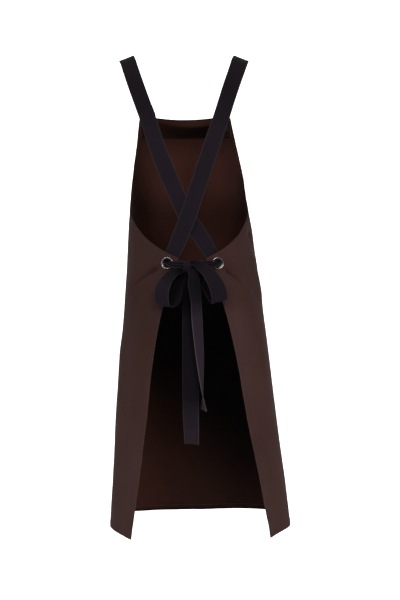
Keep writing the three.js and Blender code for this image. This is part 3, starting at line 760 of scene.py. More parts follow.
def stitch_tree():
    """Geometry Nodes: one small stitch after another along a path, turned to lie on the cloth."""
    tree = bpy.data.node_groups.new("stitch_row", "GeometryNodeTree")
    kinds = {"Path": "Geometry", "Pitch": "Float", "Length": "Float", "Width": "Float", "Thread": "Material",
             "Seed": "Int"}
    sockets = {}
    for name, kind in kinds.items():
        made = tree.interface.new_socket(name, in_out="INPUT", socket_type="NodeSocket" + kind)
        sockets[name] = made.identifier
    tree.interface.new_socket("Stitches", in_out="OUTPUT", socket_type="NodeSocketGeometry")

    def add(kind, inputs, **settings):
        """The outputs of a new node, its inputs linked to other outputs or set as values."""
        made = tree.nodes.new(kind)
        for name, value in settings.items():
            setattr(made, name, value)
        for name, value in inputs.items():
            if isinstance(value, bpy.types.NodeSocket):
                tree.links.new(value, made.inputs[name])
            else:
                made.inputs[name].default_value = value
        return made.outputs

    given = add("NodeGroupInput", {})
    curve = add("GeometryNodeMeshToCurve", {"Mesh": given["Path"]})
    spacing = {"Curve": curve["Curve"], "Length": given["Pitch"]}
    points = add("GeometryNodeCurveToPoints", spacing, mode="LENGTH")
    ball = add("GeometryNodeMeshUVSphere", {"Segments": 6, "Rings": 4, "Radius": 0.5})
    size = add("ShaderNodeCombineXYZ", {"X": given["Length"], "Y": given["Width"], "Z": given["Width"]})
    shape = add("GeometryNodeTransform", {"Geometry": ball["Mesh"], "Scale": size["Vector"]})
    outward = add("GeometryNodeInputNamedAttribute", {"Name": "out"}, data_type="FLOAT_VECTOR")
    turn = "FunctionNodeAlignRotationToVector"
    along_path = add(turn, {"Vector": points["Tangent"]}, axis="X")
    lying = {"Rotation": along_path["Rotation"], "Vector": outward["Attribute"]}
    on_face = add(turn, lying, axis="Z", pivot_axis="X")
    vary = add("FunctionNodeRandomValue", {2: 0.88, 3: 1.08, "Seed": given["Seed"]}, data_type="FLOAT")
    copies = add("GeometryNodeInstanceOnPoints", {
        "Points": points["Points"], "Instance": shape["Geometry"], "Rotation": on_face["Rotation"],
        "Scale": vary["Value"],
    })
    whole = add("GeometryNodeRealizeInstances", {"Geometry": copies["Instances"]})
    finish = {"Geometry": whole["Geometry"], "Material": given["Thread"]}
    add("NodeGroupOutput", {"Stitches": add("GeometryNodeSetMaterial", finish)["Geometry"]})
    return tree, sockets


stitch_nodes, stitch_sockets = stitch_tree()


def stitched(name, paths, thread):
    """Stitches along paths, each an array of places and an array of the ways out from the cloth."""
    points, ways, edges = [], [], []
    for places, outs in paths:
        first = len(points)
        points += places.tolist()
        ways += outs.tolist()
        edges += [(first + i, first + i + 1) for i in range(len(places) - 1)]
    mesh = bpy.data.meshes.new(name + "_path")
    mesh.from_pydata(points, edges, [])
    mesh.attributes.new("out", "FLOAT_VECTOR", "POINT").data.foreach_set("vector", np.ravel(ways))
    path = bpy.data.objects.new(name + "_path", mesh)
    scene.collection.objects.link(path)
    modifier = path.modifiers.new("stitches", "NODES")
    modifier.node_group = stitch_nodes
    values = {
        "Pitch": stitch_pitch, "Length": stitch_length, "Width": stitch_width, "Thread": thread, "Seed": 4,
    }
    for socket, value in values.items():
        modifier[stitch_sockets[socket]] = value
    evaluated = path.evaluated_get(bpy.context.evaluated_depsgraph_get())
    made = bpy.data.meshes.new_from_object(evaluated)
    made.name = name
    bpy.data.objects.remove(path)
    made.materials.clear()
    made.shade_smooth()
    return made


def thread_material(name, tint):
    """Spun cotton thread, with its twist as fine slanting ridges."""
    material, shader, start = bare_material(name)
    place = start.node("TexCoord", {}, "Object")
    tone = 0.75 + noise_at(place, 400.0, 3) * 0.5
    twist = place.node("TexWave", {"Vector": place, "Scale": 900.0}, "Fac", bands_direction="DIAGONAL")
    start.feed(shader, {
        "Base Color": colour(start, tint).scaled(tone), "Normal": twist.bump(0.3, 0.00006),
        "Roughness": 0.75, "Sheen Weight": 0.04, "Specular IOR Level": 0.1,
    })
    return material


brown_thread = thread_material("brown_thread", (0.058, 0.030, 0.026))


def on_cloth(across, level, off):
    """A path on one face of the cloth: off is its distance outside the middle surface."""
    across, level = np.broadcast_arrays(np.asarray(across, float), np.asarray(level, float))
    normal = normal_of(drape, across, level)
    return worn(across, level) + normal * off, normal * math.copysign(1, off)


def hem_paths():
    """Stitch lines of the panel, on both faces of the cloth."""
    paths = []
    bottom = 2 - (bottom_hem - side_hem + stitch_in) / skirt_length
    downs = np.linspace(0.02, bottom, 500)
    rows = [(down, slant_of(down) * stitch_in, *panel_row(down)) for down in downs]
    bottom_half = cloth_half - 0.008
    for face in (stitch_outside, -stitch_inside):
        for side in (-1, 1):
            across = np.array([side * (half - inset) for _, inset, half, _ in rows])
            level = [level_on_row(down, half, edge, half - inset) for down, inset, half, edge in rows]
            paths.append(on_cloth(across, level, face))
        paths.append(on_cloth(np.linspace(-bottom_half, bottom_half, 400), bottom, face))
    return paths


def bib_top_path():
    half = bib_width / 2 - 0.004
    return on_cloth(np.linspace(-half, half, 120), 0.005 / bib_height, 0.0009)


panel_stitches = placed(
    "panel_stitches", stitched("panel_stitches", hem_paths() + [bib_top_path()], brown_thread),
    brown_thread, "canvas",
)

# Facing of the bib
# A band of the same canvas, turned down inside the bib's top edge and caught in its topstitching. Its lower
# edge is hemmed but not sewn down. The slack cloth bulges along a curved ridge, and turns under below it.
facing_wall = 0.0012
facing_bulge = 0.016
hem_wall = 0.0024
facing_off = canvas_wall / 2 + hem_wall / 4 + seat_gap + facing_wall / 2
facing_ridge = 0.42  # share of its depth where the ridge lies lowest
facing_ridge_bend = 0.5
facing_ridge_at = 0.15  # share of its half width where it lies lowest
facing_ridge_top = 0.15  # share of its depth above which it never rises
facing_rows = 30
facing_columns = 130


def facing_place(share, down):
    """Middle surface of the facing, at a share of its half width and a share of its depth."""
    half, edge_level = panel_row(0.02)
    half -= seat_gap
    row_down = down * facing_depth / bib_height
    across = share * half
    level = level_on_row(row_down, half, edge_level - 0.02 + row_down, across) + 0.004
    slack = np.clip(1 - ((share - 0.06) / 0.66) ** 2, 0, 1) ** 1.5
    ridge = facing_ridge - facing_ridge_bend * (share - facing_ridge_at) ** 2
    ridge = np.maximum(ridge, facing_ridge_top)
    rising = np.sin(np.pi / 2 * np.clip(down / ridge, 0, 1))
    falling = np.cos(np.pi / 2 * np.clip((down - ridge) / (0.97 - ridge), 0, 1)) ** 1.3
    bulge = np.where(down < ridge, rising, falling) * (0.55 + 0.45 * np.clip((share + 0.6) / 0.9, 0, 1))
    off = facing_off + facing_bulge * slack * bulge
    normal = normal_of(drape, across, level)
    return drape(across, level) - normal * off[..., None], normal


def facing_mesh():
    edge = [0, 0.0006, 0.002]
    deep = [d / facing_depth for d in edge] + list(np.linspace(0.08, 0.86, facing_rows))
    deep += [1 - d / facing_depth for d in (0.0042, 0.0030, 0.0020, 0.0006, 0)]
    wall = np.interp(deep, [0, 0.015, 0.86, 0.90, 0.93, 0.97, 0.99, 1],
                     [0.0004, facing_wall, facing_wall, 0.0018, 0.0014, 0.0018, 0.0017, 0.0005])
    share, down = np.meshgrid(np.linspace(-1, 1, facing_columns), deep)
    middle, normal = facing_place(share, down)
    half_wall = (np.array(wall) / 2)[:, None, None]
    flat = np.stack([share * bib_width / 2, height_at(0) - down * facing_depth], axis=-1)
    return wall_mesh("bib_facing_cloth", middle + normal * half_wall, middle - normal * half_wall, flat)


def facing_shade(across, down):
    """Under its ridge the facing lies in its own shade."""
    share = across / (bib_width / 2)
    aside = share - facing_ridge_at
    below = (-bib_drop - down) / facing_depth - (facing_ridge - facing_ridge_bend * aside * aside)
    strength = (0.55 + 0.34 * share.between(-0.6, 0.5)) * (1 - 0.5 * share.between(0.68, 0.85))
    return 0.56 - strength * below.between(-0.08, 0.10) * 0.58


facing_canvas = canvas_material("facing_canvas", canvas_inside, canvas_inside, bib_width / 2, facing_shade)
facing_cloth = placed("bib_facing_cloth", facing_mesh(), facing_canvas, "canvas_inside", "bib_facing")
# The facing's hem thread is the brown thread painted much darker: painted shade, as that hem lies in shade
# under the ridge.
shaded_thread = thread_material("shaded_thread", (0.016, 0.0070, 0.0055))
facing_line = facing_place(np.linspace(-0.97, 0.97, 120), np.full(120, 0.93))
facing_stitches = placed(
    "facing_stitches",
    stitched("facing_stitches", [(facing_line[0] - facing_line[1] * 0.0009, -facing_line[1])], shaded_thread),
    shaded_thread, "canvas_inside",
)

# Eyelets
# Rolled nickel eyelets, one in each flap's top corner: an outer flange, a barrel through the canvas, and the
# matching washer inside, set with a press.
eyelet_outer = 0.024
eyelet_flange = 0.0013
eyelet_seat = canvas_wall / 2 + seat_gap + 0.00025
eyelet_bead = 0.00065  # radius of the rolled edge
eyelet_sides = 72


def eyelet_outline():
    """Half the ring's section, as distance from the bore's axis and height over the cloth's middle, and how
    much each of its points belongs to the throat."""
    bore, rim = eyelet_bore / 2, eyelet_outer / 2
    top = eyelet_seat + eyelet_flange
    crest = rim - eyelet_bead
    throat = [
        (bore, top - 0.0013), (bore + 0.0004, top - 0.0009), (bore + 0.0012, top - 0.00072),
        (bore + 0.0028, top - 0.00062),
    ]
    bead = [
        (crest + eyelet_bead * math.sin(turn), top - eyelet_bead + eyelet_bead * math.cos(turn))
        for turn in np.linspace(-1.3, math.pi / 2, 10)
    ]
    seat = [(rim - 0.0001, eyelet_seat), (bore + 0.0009, eyelet_seat)]
    fading = [0.8, 0.5, 0.2]
    bright = len(bead) + len(seat) - len(fading) - 1
    return throat + bead + seat, [1.0] * len(throat) + fading + [0.0] * bright + [1.0]


def eyelet_mesh(name, side):
    middle, out = spot(side * eyelet_across, eyelet_level)
    turned = Vector((0, 1, 0)).rotation_difference(Vector(out))
    half, dark = eyelet_outline()
    ring = half + [(radius, -height) for radius, height in reversed(half)]
    dark += dark[::-1]
    places = []
    for i in range(eyelet_sides):
        angle = 2 * math.pi * i / eyelet_sides
        for radius, height in ring:
            local = Vector((radius * math.cos(angle), height, radius * math.sin(angle)))
            places.append(turned @ local + Vector(middle))
    size = len(ring)
    faces = []
    for i in range(eyelet_sides):
        for k in range(size):
            after = (i + 1) % eyelet_sides
            beyond = (k + 1) % size
            faces.append((i * size + k, i * size + beyond, after * size + beyond, after * size + k))
    mesh = bpy.data.meshes.new(name)
    mesh.from_pydata(places, [], faces)
    mesh.attributes.new("throat", "FLOAT", "POINT").data.foreach_set("value", dark * eyelet_sides)
    mesh.shade_smooth()
    return mesh


nickel_grey = (0.32, 0.31, 0.30)


def nickel_material():
    """Polished nickel plate with fine rubbing marks and a little dulling. Down in the throat it is darker,
    with tarnish and painted shade.
    """
    material, shader, start = bare_material("nickel")
    place = start.node("TexCoord", {}, "Object")
    dull = noise_at(place, 350.0, 4)
    throat = start.node("Attribute", {}, "Fac", attribute_name="throat")
    start.feed(shader, {
        "Base Color": colour(start, nickel_grey).scaled((0.8 + dull * 0.35) * (1 - 0.88 * throat)),
        "Roughness": 0.16 + dull * 0.2, "Metallic": 1.0,
        "Normal": noise_at(place, 1500.0, 2).bump(0.15, 0.00003),
    })
    return material


nickel = nickel_material()
for side, word in ((-1, "left"), (1, "right")):
    ring = f"eyelet_ring_{word}"
    placed(ring, eyelet_mesh(ring, side), nickel, "nickel", f"eyelet_{word}")

# Tape straps
# Two near-black twill tapes with paler woven edges. Each is sewn inside the bib's top corner, goes over the
# shoulder, crosses the back, and is gathered out through the eyelet on the other side and up to the knot.
tape_width = 0.034
tape_wall = 0.0015
strap_inset = 0.0075
sewn_length = 0.034
shoulder_half = 0.125
cross_stand = 0.0046
knot_share = 0.4
knot_stand = 0.013
knot_drop = 0.007
knot_length = 0.017
pleat_depth = 0.0017
pleats = 3
tape_step = 0.0028
tape_end_step = 0.0009  # finer steps where the end is hemmed
tape_unevenness = 0.0006
thread_lift = 0.0001
knot_rise = 0.004  # how far over the knot's middle the straps go in
cross_from = 0.3  # share of back_drop from which the right strap rises over the left one
cross_over = 0.3

eyelet_spots = {side: spot(side * eyelet_across, eyelet_level) for side in (-1, 1)}
knot_middle = eyelet_spots[-1][0] * (1 - knot_share) + eyelet_spots[1][0] * knot_share
knot_middle = knot_middle + np.array([0, -knot_stand, -knot_drop])

# Down the front and over the shoulder: shares of shoulder_half, front_depth and bib_drop.
strap_front = table(
    "across ahead drop face_out face_ahead face_up",
    (0.795, 0.81, 0.62, 0.30, 0.95, 0.12),
    (0.905, 0.58, 0.30, 0.35, 0.72, 0.55),
    (0.980, 0.26, 0.10, 0.36, 0.30, 0.88),
    (1.000, 0.00, 0.06, 0.36, 0.00, 0.93),
)

# Down the back to the crossing: shares of shoulder_half, back_depth and back_drop.
strap_back = table(
    "left right back drop face_out face_back face_up",
    (-0.955, 0.955, 0.26, 0.045, 0.28, 0.50, 0.79),
    (-0.875, 0.885, 0.50, 0.112, 0.22, 0.80, 0.42),
    (-0.785, 0.800, 0.64, 0.186, 0.18, 0.90, 0.20),
    (-0.580, 0.625, 0.81, 0.347, 0.18, 0.92, 0.08),
    (-0.410, 0.450, 0.89, 0.494, 0.16, 0.94, 0.0),
    (-0.118, 0.215, 0.935, 0.694, 0.08, 1.0, 0.0),
)

# From the crossing to the eyelet on the other side: shares of the way across and of the way down.
strap_across = table(
    "left right back down face_out face_back",
    (0.257, 0.274, 0.93, 0.338, 0.0, 1.0),
    (0.557, 0.516, 0.90, 0.587, -0.15, 1.0),
)

# Through the eyelet and along to the knot: the share of the way, and beside it the distances towards the
# knot, outside the eyelet's middle plane, and up.
strap_through = table(
    "share toward out up wide gathered face_out face_up face_in",
    (0, 0.0080, -0.0070, 0.0170, 0.90, 0.1, 1, 0.1, 0),
    (0, -0.0015, -0.0075, 0.0030, 0.34, 0.9, 0.5, 0.9, 0),
    (0, -0.0012, 0.0, 0.0, 0.30, 1.0, 0, 1, 0),
    (0, -0.0004, 0.0055, -0.0003, 0.30, 1.0, 0.45, 0.7, -0.4),
    (0.02, 0.0105, 0.0105, -0.0012, 0.42, 0.9, 1, 0.1, 0),
    (0.65, 0.0, 0.0115, 0.0, 0.48, 0.8, 1, 0, 0),
)


def strap_stations(side):
    """Where a strap passes: its middle, the way its outer side looks, its width, how far it is gathered and
    how much its section curls."""
    stations = []
    on_facing = facing_off + facing_wall / 2 + 2 * seat_gap + tape_wall / 2
    across = side * (bib_width / 2 - strap_inset - tape_width / 2)
    for down in (sewn_length, sewn_length / 2, 0):
        level = down / bib_height
        middle, face = spot(across, level)
        edges = [(spot(across + end * tape_width / 2, level)[0] - middle) @ face for end in (-1, 1)]
        stations.append((middle - face * on_facing, face, 1, 0, sum(edges) / 2))
    for row in strap_front:
        at = (side * row["across"] * shoulder_half, row["ahead"] * front_depth, -row["drop"] * bib_drop)
        stations.append((at, (side * row["face_out"], row["face_ahead"], row["face_up"]), 1, 0, 0))
    for row in strap_back:
        t = min(max((row["drop"] - cross_from) / cross_over, 0), 1)
        outside = cross_stand * t * t * (3 - 2 * t) if side > 0 else 0
        x = row["left" if side < 0 else "right"] * shoulder_half
        at = (x, -row["back"] * back_depth - outside, -row["drop"] * back_drop)
        stations.append((at, (side * row["face_out"], -row["face_back"], row["face_up"]), 1, 0, 0))
    eyelet, out = eyelet_spots[-side]
    crossing = np.array(stations[-1][0])
    for row in strap_across:
        x = crossing[0] + (eyelet[0] - crossing[0]) * row["left" if side < 0 else "right"]
        z = crossing[2] + (eyelet[2] - crossing[2]) * row["down"]
        at = (x, -row["back"] * back_depth - (cross_stand if side > 0 else 0), z)
        stations.append((at, (side * row["face_out"], -row["face_back"], 0), 1, 0, 0))
    knot_end = knot_middle + np.array([-side * (knot_length / 2 + seat_gap), 0, 0])
    way = (knot_end - eyelet) * np.array([1, 0, 1])
    to_knot = way / np.linalg.norm(way)
    up = np.array([0, 0, 1])
    for row in strap_through:
        at = eyelet + way * row["share"] + to_knot * row["toward"] + out * row["out"] + up * row["up"]
        face = out * row["face_out"] + up * row["face_up"] + to_knot * row["face_in"]
        stations.append((at, face, row["wide"], row["gathered"], 0))
    stations.append((knot_end + up * knot_rise, out, 0.45, 1, 0))
    stations.append((knot_middle + up * knot_rise, out, 0.40, 1, 0))
    return stations


def route_through(points):
    """Cubic stretches through the points, with the points' distances as their spacing."""
    before, after = 2 * points[0] - points[1], 2 * points[-1] - points[-2]
    padded = np.vstack([before, points, after])
    gap = np.linalg.norm(np.diff(padded, axis=0), axis=1) ** 0.5
    stretches = []
    for i in range(1, len(padded) - 2):
        p0, p1, p2, p3 = padded[i - 1:i + 3]
        d0, d1, d2 = gap[i - 1:i + 2]
        leave = ((p1 - p0) / d0 - (p2 - p0) / (d0 + d1) + (p2 - p1) / d1) * d1
        arrive = ((p2 - p1) / d1 - (p3 - p1) / (d1 + d2) + (p3 - p2) / d2) * d1
        stretches.append((p1, leave, 3 * (p2 - p1) - 2 * leave - arrive, 2 * (p1 - p2) + leave + arrive))
    return stretches


def tape_run(stations, end_step):
    """The stations joined up: places, ways along, ways the outer side looks, and the other measures."""
    points = np.array([station[0] for station in stations], float)
    faces = np.array([station[1] for station in stations], float)
    faces /= np.linalg.norm(faces, axis=1, keepdims=True)
    measures = np.array([station[2:] for station in stations], float)
    at, way, face, measure = [], [], [], []
    for i, (c0, c1, c2, c3) in enumerate(route_through(points)):
        last = i == len(points) - 2
        step = end_step if last else tape_step
        steps = max(2, round(np.linalg.norm(points[i + 1] - points[i]) / step))
        t = np.arange(steps + last)[:, None] / steps
        ease = t * t * (3 - 2 * t)
        at.append(c0 + c1 * t + c2 * t ** 2 + c3 * t ** 3)
        way.append(c1 + 2 * c2 * t + 3 * c3 * t ** 2)
        face.append(faces[i] * (1 - t) + faces[i + 1] * t)
        measure.append(measures[i] * (1 - ease) + measures[i + 1] * ease)
    face = np.vstack(face)
    padded = np.vstack([face[:1]] * 3 + [face] + [face[-1:]] * 3)
    face = sum(padded[k:k + len(face)] for k in range(7)) / 7
    return np.vstack(at), np.vstack(way), face, np.vstack(measure)


# The tape's section, by share of its half width, and a hemmed end's, by distance from the end: how thick the
# tape is, as shares of tape_wall.
tape_section = [0, 0.90, 0.95, 0.985, 1], [0.8, 0.8, 1.05, 0.9, 0.3]
end_section = [0, 0.0006, 0.0045, 0.0055, 0.0070, 0.0080], [0.5, 1.7, 1.8, 1.3, 1.75, 1.0]
edge_columns = [0.96, 0.985, 1]
inner_columns = 27


def tape_mesh(name, stations, seed, hem):
    """A woven tape through its stations, with pleats where it is gathered and rounded woven edges. Also its
    length, and the path of the stitches across its end."""
    at, way, face, measure = tape_run(stations, tape_end_step if hem else tape_step)
    way /= np.linalg.norm(way, axis=1, keepdims=True)
    side = np.cross(way, face)
    side /= np.linalg.norm(side, axis=1, keepdims=True)
    out = np.cross(side, way)
    run = np.concatenate([[0], np.cumsum(np.linalg.norm(np.diff(at, axis=0), axis=1))])
    wide, gathered, curl = (column[:, None] for column in measure.T)
    edge = np.array(edge_columns)
    column = np.concatenate([-edge[::-1], np.linspace(-0.93, 0.93, inner_columns), edge])[None, :]
    thick = tape_wall * np.interp(np.abs(column), *tape_section)
    if hem:
        thick = thick * np.interp((run[-1] - run)[:, None], *end_section)
    seeds = np.full(run.shape, seed)
    across_drift = noise_over(run * 14, seeds, 3.1)[:, None]
    along_drift = noise_over(run * 9, seeds, 8.7)[:, None]
    wave = math.pi * pleats * column
    phase = across_drift * 1.6
    pleat = pleat_depth * gathered * np.sin(wave + phase * column)
    spread = column + gathered * 0.5 / pleats * np.cos(wave + phase) * (1 - column ** 2) * 0.5
    uneven = along_drift * column ** 2 * 2 + across_drift * column
    bow = curl * column ** 2 + tape_unevenness * (1 - gathered) * uneven
    middle = at[:, None, :] + side[:, None, :] * (spread * wide * tape_width / 2)[..., None]
    middle = middle + out[:, None, :] * (pleat + bow)[..., None]
    normal = np.cross(np.gradient(middle, axis=0), np.gradient(middle, axis=1))
    normal /= np.linalg.norm(normal, axis=-1, keepdims=True)
    normal *= np.sign(np.sum(normal * out[:, None, :], axis=-1, keepdims=True))
    half = (thick / 2 * np.ones_like(pleat))[..., None]
    end_row = int(np.searchsorted(run, run[-1] - stitch_in))
    inside_edges = slice(len(edge), -len(edge))
    face_side = middle + normal * (half + thread_lift)
    end_line = face_side[end_row, inside_edges], normal[end_row, inside_edges]
    flat = np.stack([column * tape_width / 2 + 0 * run[:, None], run[:, None] + 0 * column], axis=-1)
    mesh = wall_mesh(name, middle + normal * half, middle - normal * half, flat)
    return mesh, run[-1], end_line


tape_dark = (0.0088, 0.0060, 0.0090)
tape_edge = (0.028, 0.023, 0.027)
twill_pitch = 0.0011


def tape_material(name, length, painted_tones):
    """Cotton twill tape: slanting ridges that turn back at the middle, and a paler woven edge. Its tones are
    pairs of a share of the length and a brightness: painted light and shade along the tape, darker where
    the bow shades it and brighter where light falls on it."""
    material, shader, start = bare_material(name)
    place, across, down = flat_place(start)
    brightest = max(tone for _, tone in painted_tones)
    stops = [(at, tone / brightest) for at, tone in painted_tones]
    tone = start.node("ValToRGB", {0: down / length}, stops=stops) * brightest
    ridges = ((abs(across) + down) / twill_pitch).wave()
    rows = (down / (twill_pitch * 0.6)).wave()
    weave = ridges * 0.7 + rows * 0.3
    fuzz = noise_at(place, 1.0, 3, (500, 150, 1))
    patches = noise_at(place, 22.0, 3)
    edge = abs(across).between(tape_width / 2 - 0.0021, tape_width / 2 - 0.0010)
    base = colour(start, tape_dark).scaled(0.45 + weave * 0.35 + fuzz * 0.35 + patches * 0.45)
    start.feed(shader, {
        "Base Color": base.mix(edge * (0.35 + fuzz * 0.5), colour(start, tape_edge)).scaled(tone),
        "Roughness": 0.95 - weave * 0.12, "Normal": (weave + fuzz * 0.4).bump(0.5, 0.0002),
        "Sheen Weight": 0.02, "Sheen Roughness": 0.5, "Sheen Tint": (0.75, 0.72, 0.82, 1),
        "Specular IOR Level": 0.05,
    })
    return material


def tape_piece(name, stations, seed, node, painted_tones, hem=False):
    """A tape that stands for its solid; with a hem it gets a turned and stitched end."""
    mesh, length, end_line = tape_mesh(name, stations, seed, hem)
    piece = placed(name, mesh, tape_material(name + "_twill", length, painted_tones), "tape", node)
    seam = []
    if hem:
        stitches = stitched(name + "_stitches", [end_line], dark_thread)
        seam = [placed(name + "_stitches", stitches, dark_thread, "tape")]


dark_thread = thread_material("dark_thread", (0.034, 0.027, 0.031))
# Painted shade: the straps are darker high on the back, just behind the shoulders.
strap_painted_tones = [(0, 0.85), (0.22, 0.85), (0.32, 0.52), (0.44, 0.52), (0.56, 0.88), (1, 0.88)]

for side, word in ((-1, "left"), (1, "right")):
    name = f"strap_tape_{word}"
    stations = strap_stations(side)
    tape_piece(name, stations, 2.0 + side, f"strap_{word}", strap_painted_tones)

# Knot of the bow
# The tape, folded in two lengthwise, goes once round the crossed straps and is pulled tight into a short,
# fat band with soft pleats.
knot_depth = 0.019
knot_height = 0.025
knot_rings = 64
knot_sides = 90
knot_pleats = 5
knot_pleat_depth = 0.0009
knot_wrap_length = 0.066
knot_outline = table(
    "radius shift",
    (0.60, -0.42),
    (0.72, -0.50),
    (0.88, -0.40),
    (1.00, -0.15),
    (0.97, 0.12),
    (0.84, 0.38),
    (0.68, 0.50),
    (0.56, 0.42),
)


def knot_mesh():
    """The wound band as one wall of cloth; its two ends meet on the side towards the body."""
    radius = [row["radius"] for row in knot_outline]
    shift = [row["shift"] for row in knot_outline]
    run = np.concatenate([[0], np.cumsum(np.hypot(np.diff(radius), np.diff(shift)))])
    at = np.linspace(0, run[-1], knot_rings)[:, None]
    turn = np.linspace(0.01, 2 * math.pi - 0.01, knot_sides)[None, :]
    x = np.interp(at, run, shift) * knot_length + 0.0010 * np.sin(turn)
    ridge = knot_pleat_depth * np.sin(2 * math.pi * knot_pleats * at / run[-1] + 1.1 * np.sin(turn + 0.6))
    ridge += 0.0003 * np.sin(3 * turn + 9 * at)
    grow = np.interp(at, run, radius) * np.ones_like(turn)
    reach = [grow * (size / 2 - tape_wall / 2) + ridge for size in (knot_depth, knot_height)]
    middle = np.stack([x, reach[0] * np.cos(turn), reach[1] * np.sin(turn)], axis=-1) + knot_middle
    normal = np.cross(np.gradient(middle, axis=0), np.gradient(middle, axis=1))
    normal *= tape_wall / 2 / np.linalg.norm(normal, axis=-1, keepdims=True)
    if np.sum(normal * (middle - knot_middle)) < 0:
        normal = -normal
    share = at / run[-1] - 0.5 + 0 * turn
    flat = np.stack([share * tape_width, turn * knot_height / 2 + 0 * at], axis=-1)
    return wall_mesh("knot_wrap", middle + normal, middle - normal, flat)


knot_twill = tape_material("knot_twill", knot_wrap_length, [(0, 0.85), (1, 0.85)])
knot = placed("knot_wrap", knot_mesh(), knot_twill, "tape", "bow_knot")

# Loops of the bow
# Two loops of the same tape, gathered at the knot and opening to the tape's full width as they fall over
# the flaps.
loop_reach = 0.065
loop_drop = 0.080
loop_depth = 0.026

loop_left = table(
    "x y z wide gathered face_x face_y face_z",
    (-0.15, -0.26, -0.10, 0.34, 0.8, -0.1, -1, 0.3),
    (-0.35, -0.54, -0.13, 0.5, 0.5, -0.2, -0.9, 0.5),
    (-0.56, -0.8, -0.26, 0.77, 0.1, -0.45, -0.85, 0.45),
    (-0.73, -0.96, -0.47, 0.95, 0, -0.5, -0.85, 0.15),
    (-0.8, -1.0, -0.68, 1, 0, -0.5, -0.87, 0),
    (-0.77, -0.92, -0.91, 1, 0, -0.4, -0.7, -0.5),
    (-0.64, -0.74, -1.0, 1, 0, 0, 0, -1),
    (-0.46, -0.5, -0.86, 1, 0, 0.3, 0.8, -0.45),
    (-0.35, -0.27, -0.6, 0.88, 0, 0.3, 0.95, -0.1),
    (-0.25, -0.05, -0.35, 0.6, 0.2, 0.3, 0.95, -0.1),
    (-0.1, 0.08, -0.15, 0.34, 0.8, 0.2, 0.95, 0.1),
)
loop_right = table(
    "x y z wide gathered face_x face_y face_z",
    (0.14, -0.22, 0.09, 0.34, 0.8, 0.1, -0.9, 0.5),
    (0.3, -0.6, 0.07, 0.5, 0.5, 0.1, -0.9, 0.5),
    (0.55, -0.85, -0.07, 0.75, 0.1, 0.3, -0.85, 0.45),
    (0.77, -0.96, -0.27, 0.92, 0, 0.35, -0.88, 0.25),
    (0.93, -1.0, -0.51, 1, 0, 0.3, -0.93, 0.1),
    (1.0, -0.92, -0.74, 1, 0, 0.25, -0.85, -0.4),
    (1.0, -0.68, -0.88, 1, 0, 0.3, 0, -0.95),
    (0.87, -0.42, -0.76, 1, 0, -0.2, 0.85, -0.4),
    (0.68, -0.16, -0.48, 0.94, 0, -0.3, 0.93, -0.1),
    (0.44, 0.06, -0.26, 0.62, 0.2, -0.3, 0.93, -0.2),
    (0.13, 0.12, -0.16, 0.34, 0.8, -0.2, 0.95, 0.1),
)


loop_start = 0.003  # how far from the knot's middle a loop or tail begins


def bow_stations(rows, length):
    """Stations of a loop or tail: shares of the loop's reach, its depth and a length, from the knot."""
    begin = knot_middle + np.array([math.copysign(loop_start, rows[0]["x"]), 0, 0])
    stations = [(begin, (0, -1, 0), 0.3, 1, 0)]
    for row in rows:
        place = knot_middle + np.array([row["x"] * loop_reach, row["y"] * loop_depth, row["z"] * length])
        face = (row["face_x"], row["face_y"], row["face_z"])
        stations.append((place, face, row["wide"], row["gathered"], 0))
    return stations


# Painted light and shade along each loop: dark at the knot and on its back half, in the bow's shade, and
# lighter where it falls over the flap.
left_loop_painted_tones = [(0, 0.15), (0.10, 0.18), (0.22, 0.5), (0.34, 0.9), (0.52, 0.85), (0.60, 0.25), (1, 0.12)]
right_loop_painted_tones = [(0, 0.3), (0.12, 0.35), (0.25, 0.7), (0.55, 0.75), (0.62, 0.3), (1, 0.15)]
for word, seed, rows, painted_tones in (
    ("left", 21.0, loop_left, left_loop_painted_tones), ("right", 24.0, loop_right, right_loop_painted_tones)
):
    stations = bow_stations(rows, loop_drop)
    tape_piece(f"loop_tape_{word}", stations, seed, f"bow_loop_{word}", painted_tones)

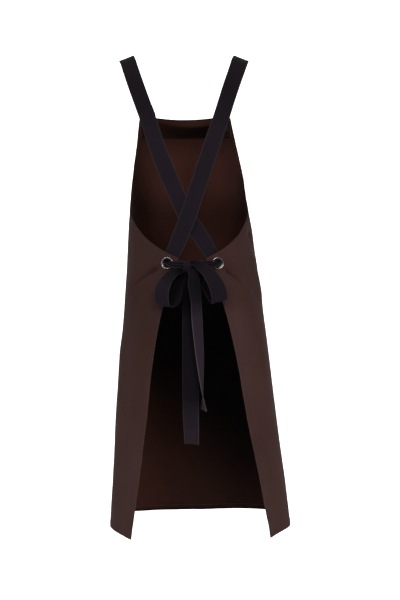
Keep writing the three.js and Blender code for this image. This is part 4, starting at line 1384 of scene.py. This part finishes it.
# Tails of the bow
# The two hanging ends of the tape. The right one hangs in front and turns edge-on near its end; both are
# turned in once at the end and stitched.
left_tail_length = 0.364
right_tail_length = 0.293

tail_left = table(
    "x y z wide gathered face_x face_y face_z",
    (0.04, -0.16, -0.025, 0.34, 0.8, 0, -1, 0),
    (0.09, -0.17, -0.095, 0.7, 0.2, 0.1, -1, 0),
    (0.09, -0.17, -0.19, 0.95, 0, 0.1, -1, 0),
    (0.1, -0.18, -0.415, 1, 0, 0, -1, 0),
    (0.1, -0.18, -0.64, 1, 0, 0, -1, 0),
    (0.11, -0.16, -0.84, 1, 0, -0.25, -1, 0),
    (0.14, -0.14, -1, 1, 0, -0.5, -0.85, 0),
)
tail_right = table(
    "x y z wide gathered face_x face_y face_z",
    (0.07, -0.3, -0.012, 0.34, 0.8, 0.2, -1, 0.1),
    (0.2, -0.7, -0.05, 0.7, 0.2, 0.5, -0.85, 0),
    (0.21, -0.76, -0.12, 0.95, 0, 0.67, -0.74, 0),
    (0.27, -0.74, -0.22, 1, 0, 0.79, -0.62, 0),
    (0.31, -0.66, -0.37, 1, 0, 0.78, -0.63, 0),
    (0.4, -0.5, -0.61, 1, 0, 0.88, -0.47, 0),
    (0.46, -0.42, -0.83, 1, 0, 0.99, -0.14, 0),
    (0.49, -0.42, -0.9, 1, 0, 1, 0, 0),
    (0.51, -0.42, -1, 1, 0, 0.93, 0.37, 0),
)
# Painted light and shade along each tail: the left one dark under the loops and lighter at its end, the right
# one painted much brighter down its lit length.
left_tail_painted_tones = [(0, 0.1), (0.22, 0.1), (0.30, 0.42), (0.74, 0.42), (0.85, 1.0), (0.95, 1.35), (1, 1.35)]
right_tail_painted_tones = [(0, 0.5), (0.18, 0.42), (0.26, 0.6), (0.38, 2.0), (0.70, 2.7), (0.85, 2.4), (1, 2.0)]
for word, seed, rows, length, painted_tones in (
    ("left", 31.0, tail_left, left_tail_length, left_tail_painted_tones),
    ("right", 34.0, tail_right, right_tail_length, right_tail_painted_tones),
):
    stations = bow_stations(rows, length)
    tape_piece(f"tail_tape_{word}", stations, seed, f"bow_tail_{word}", painted_tones, hem=True)
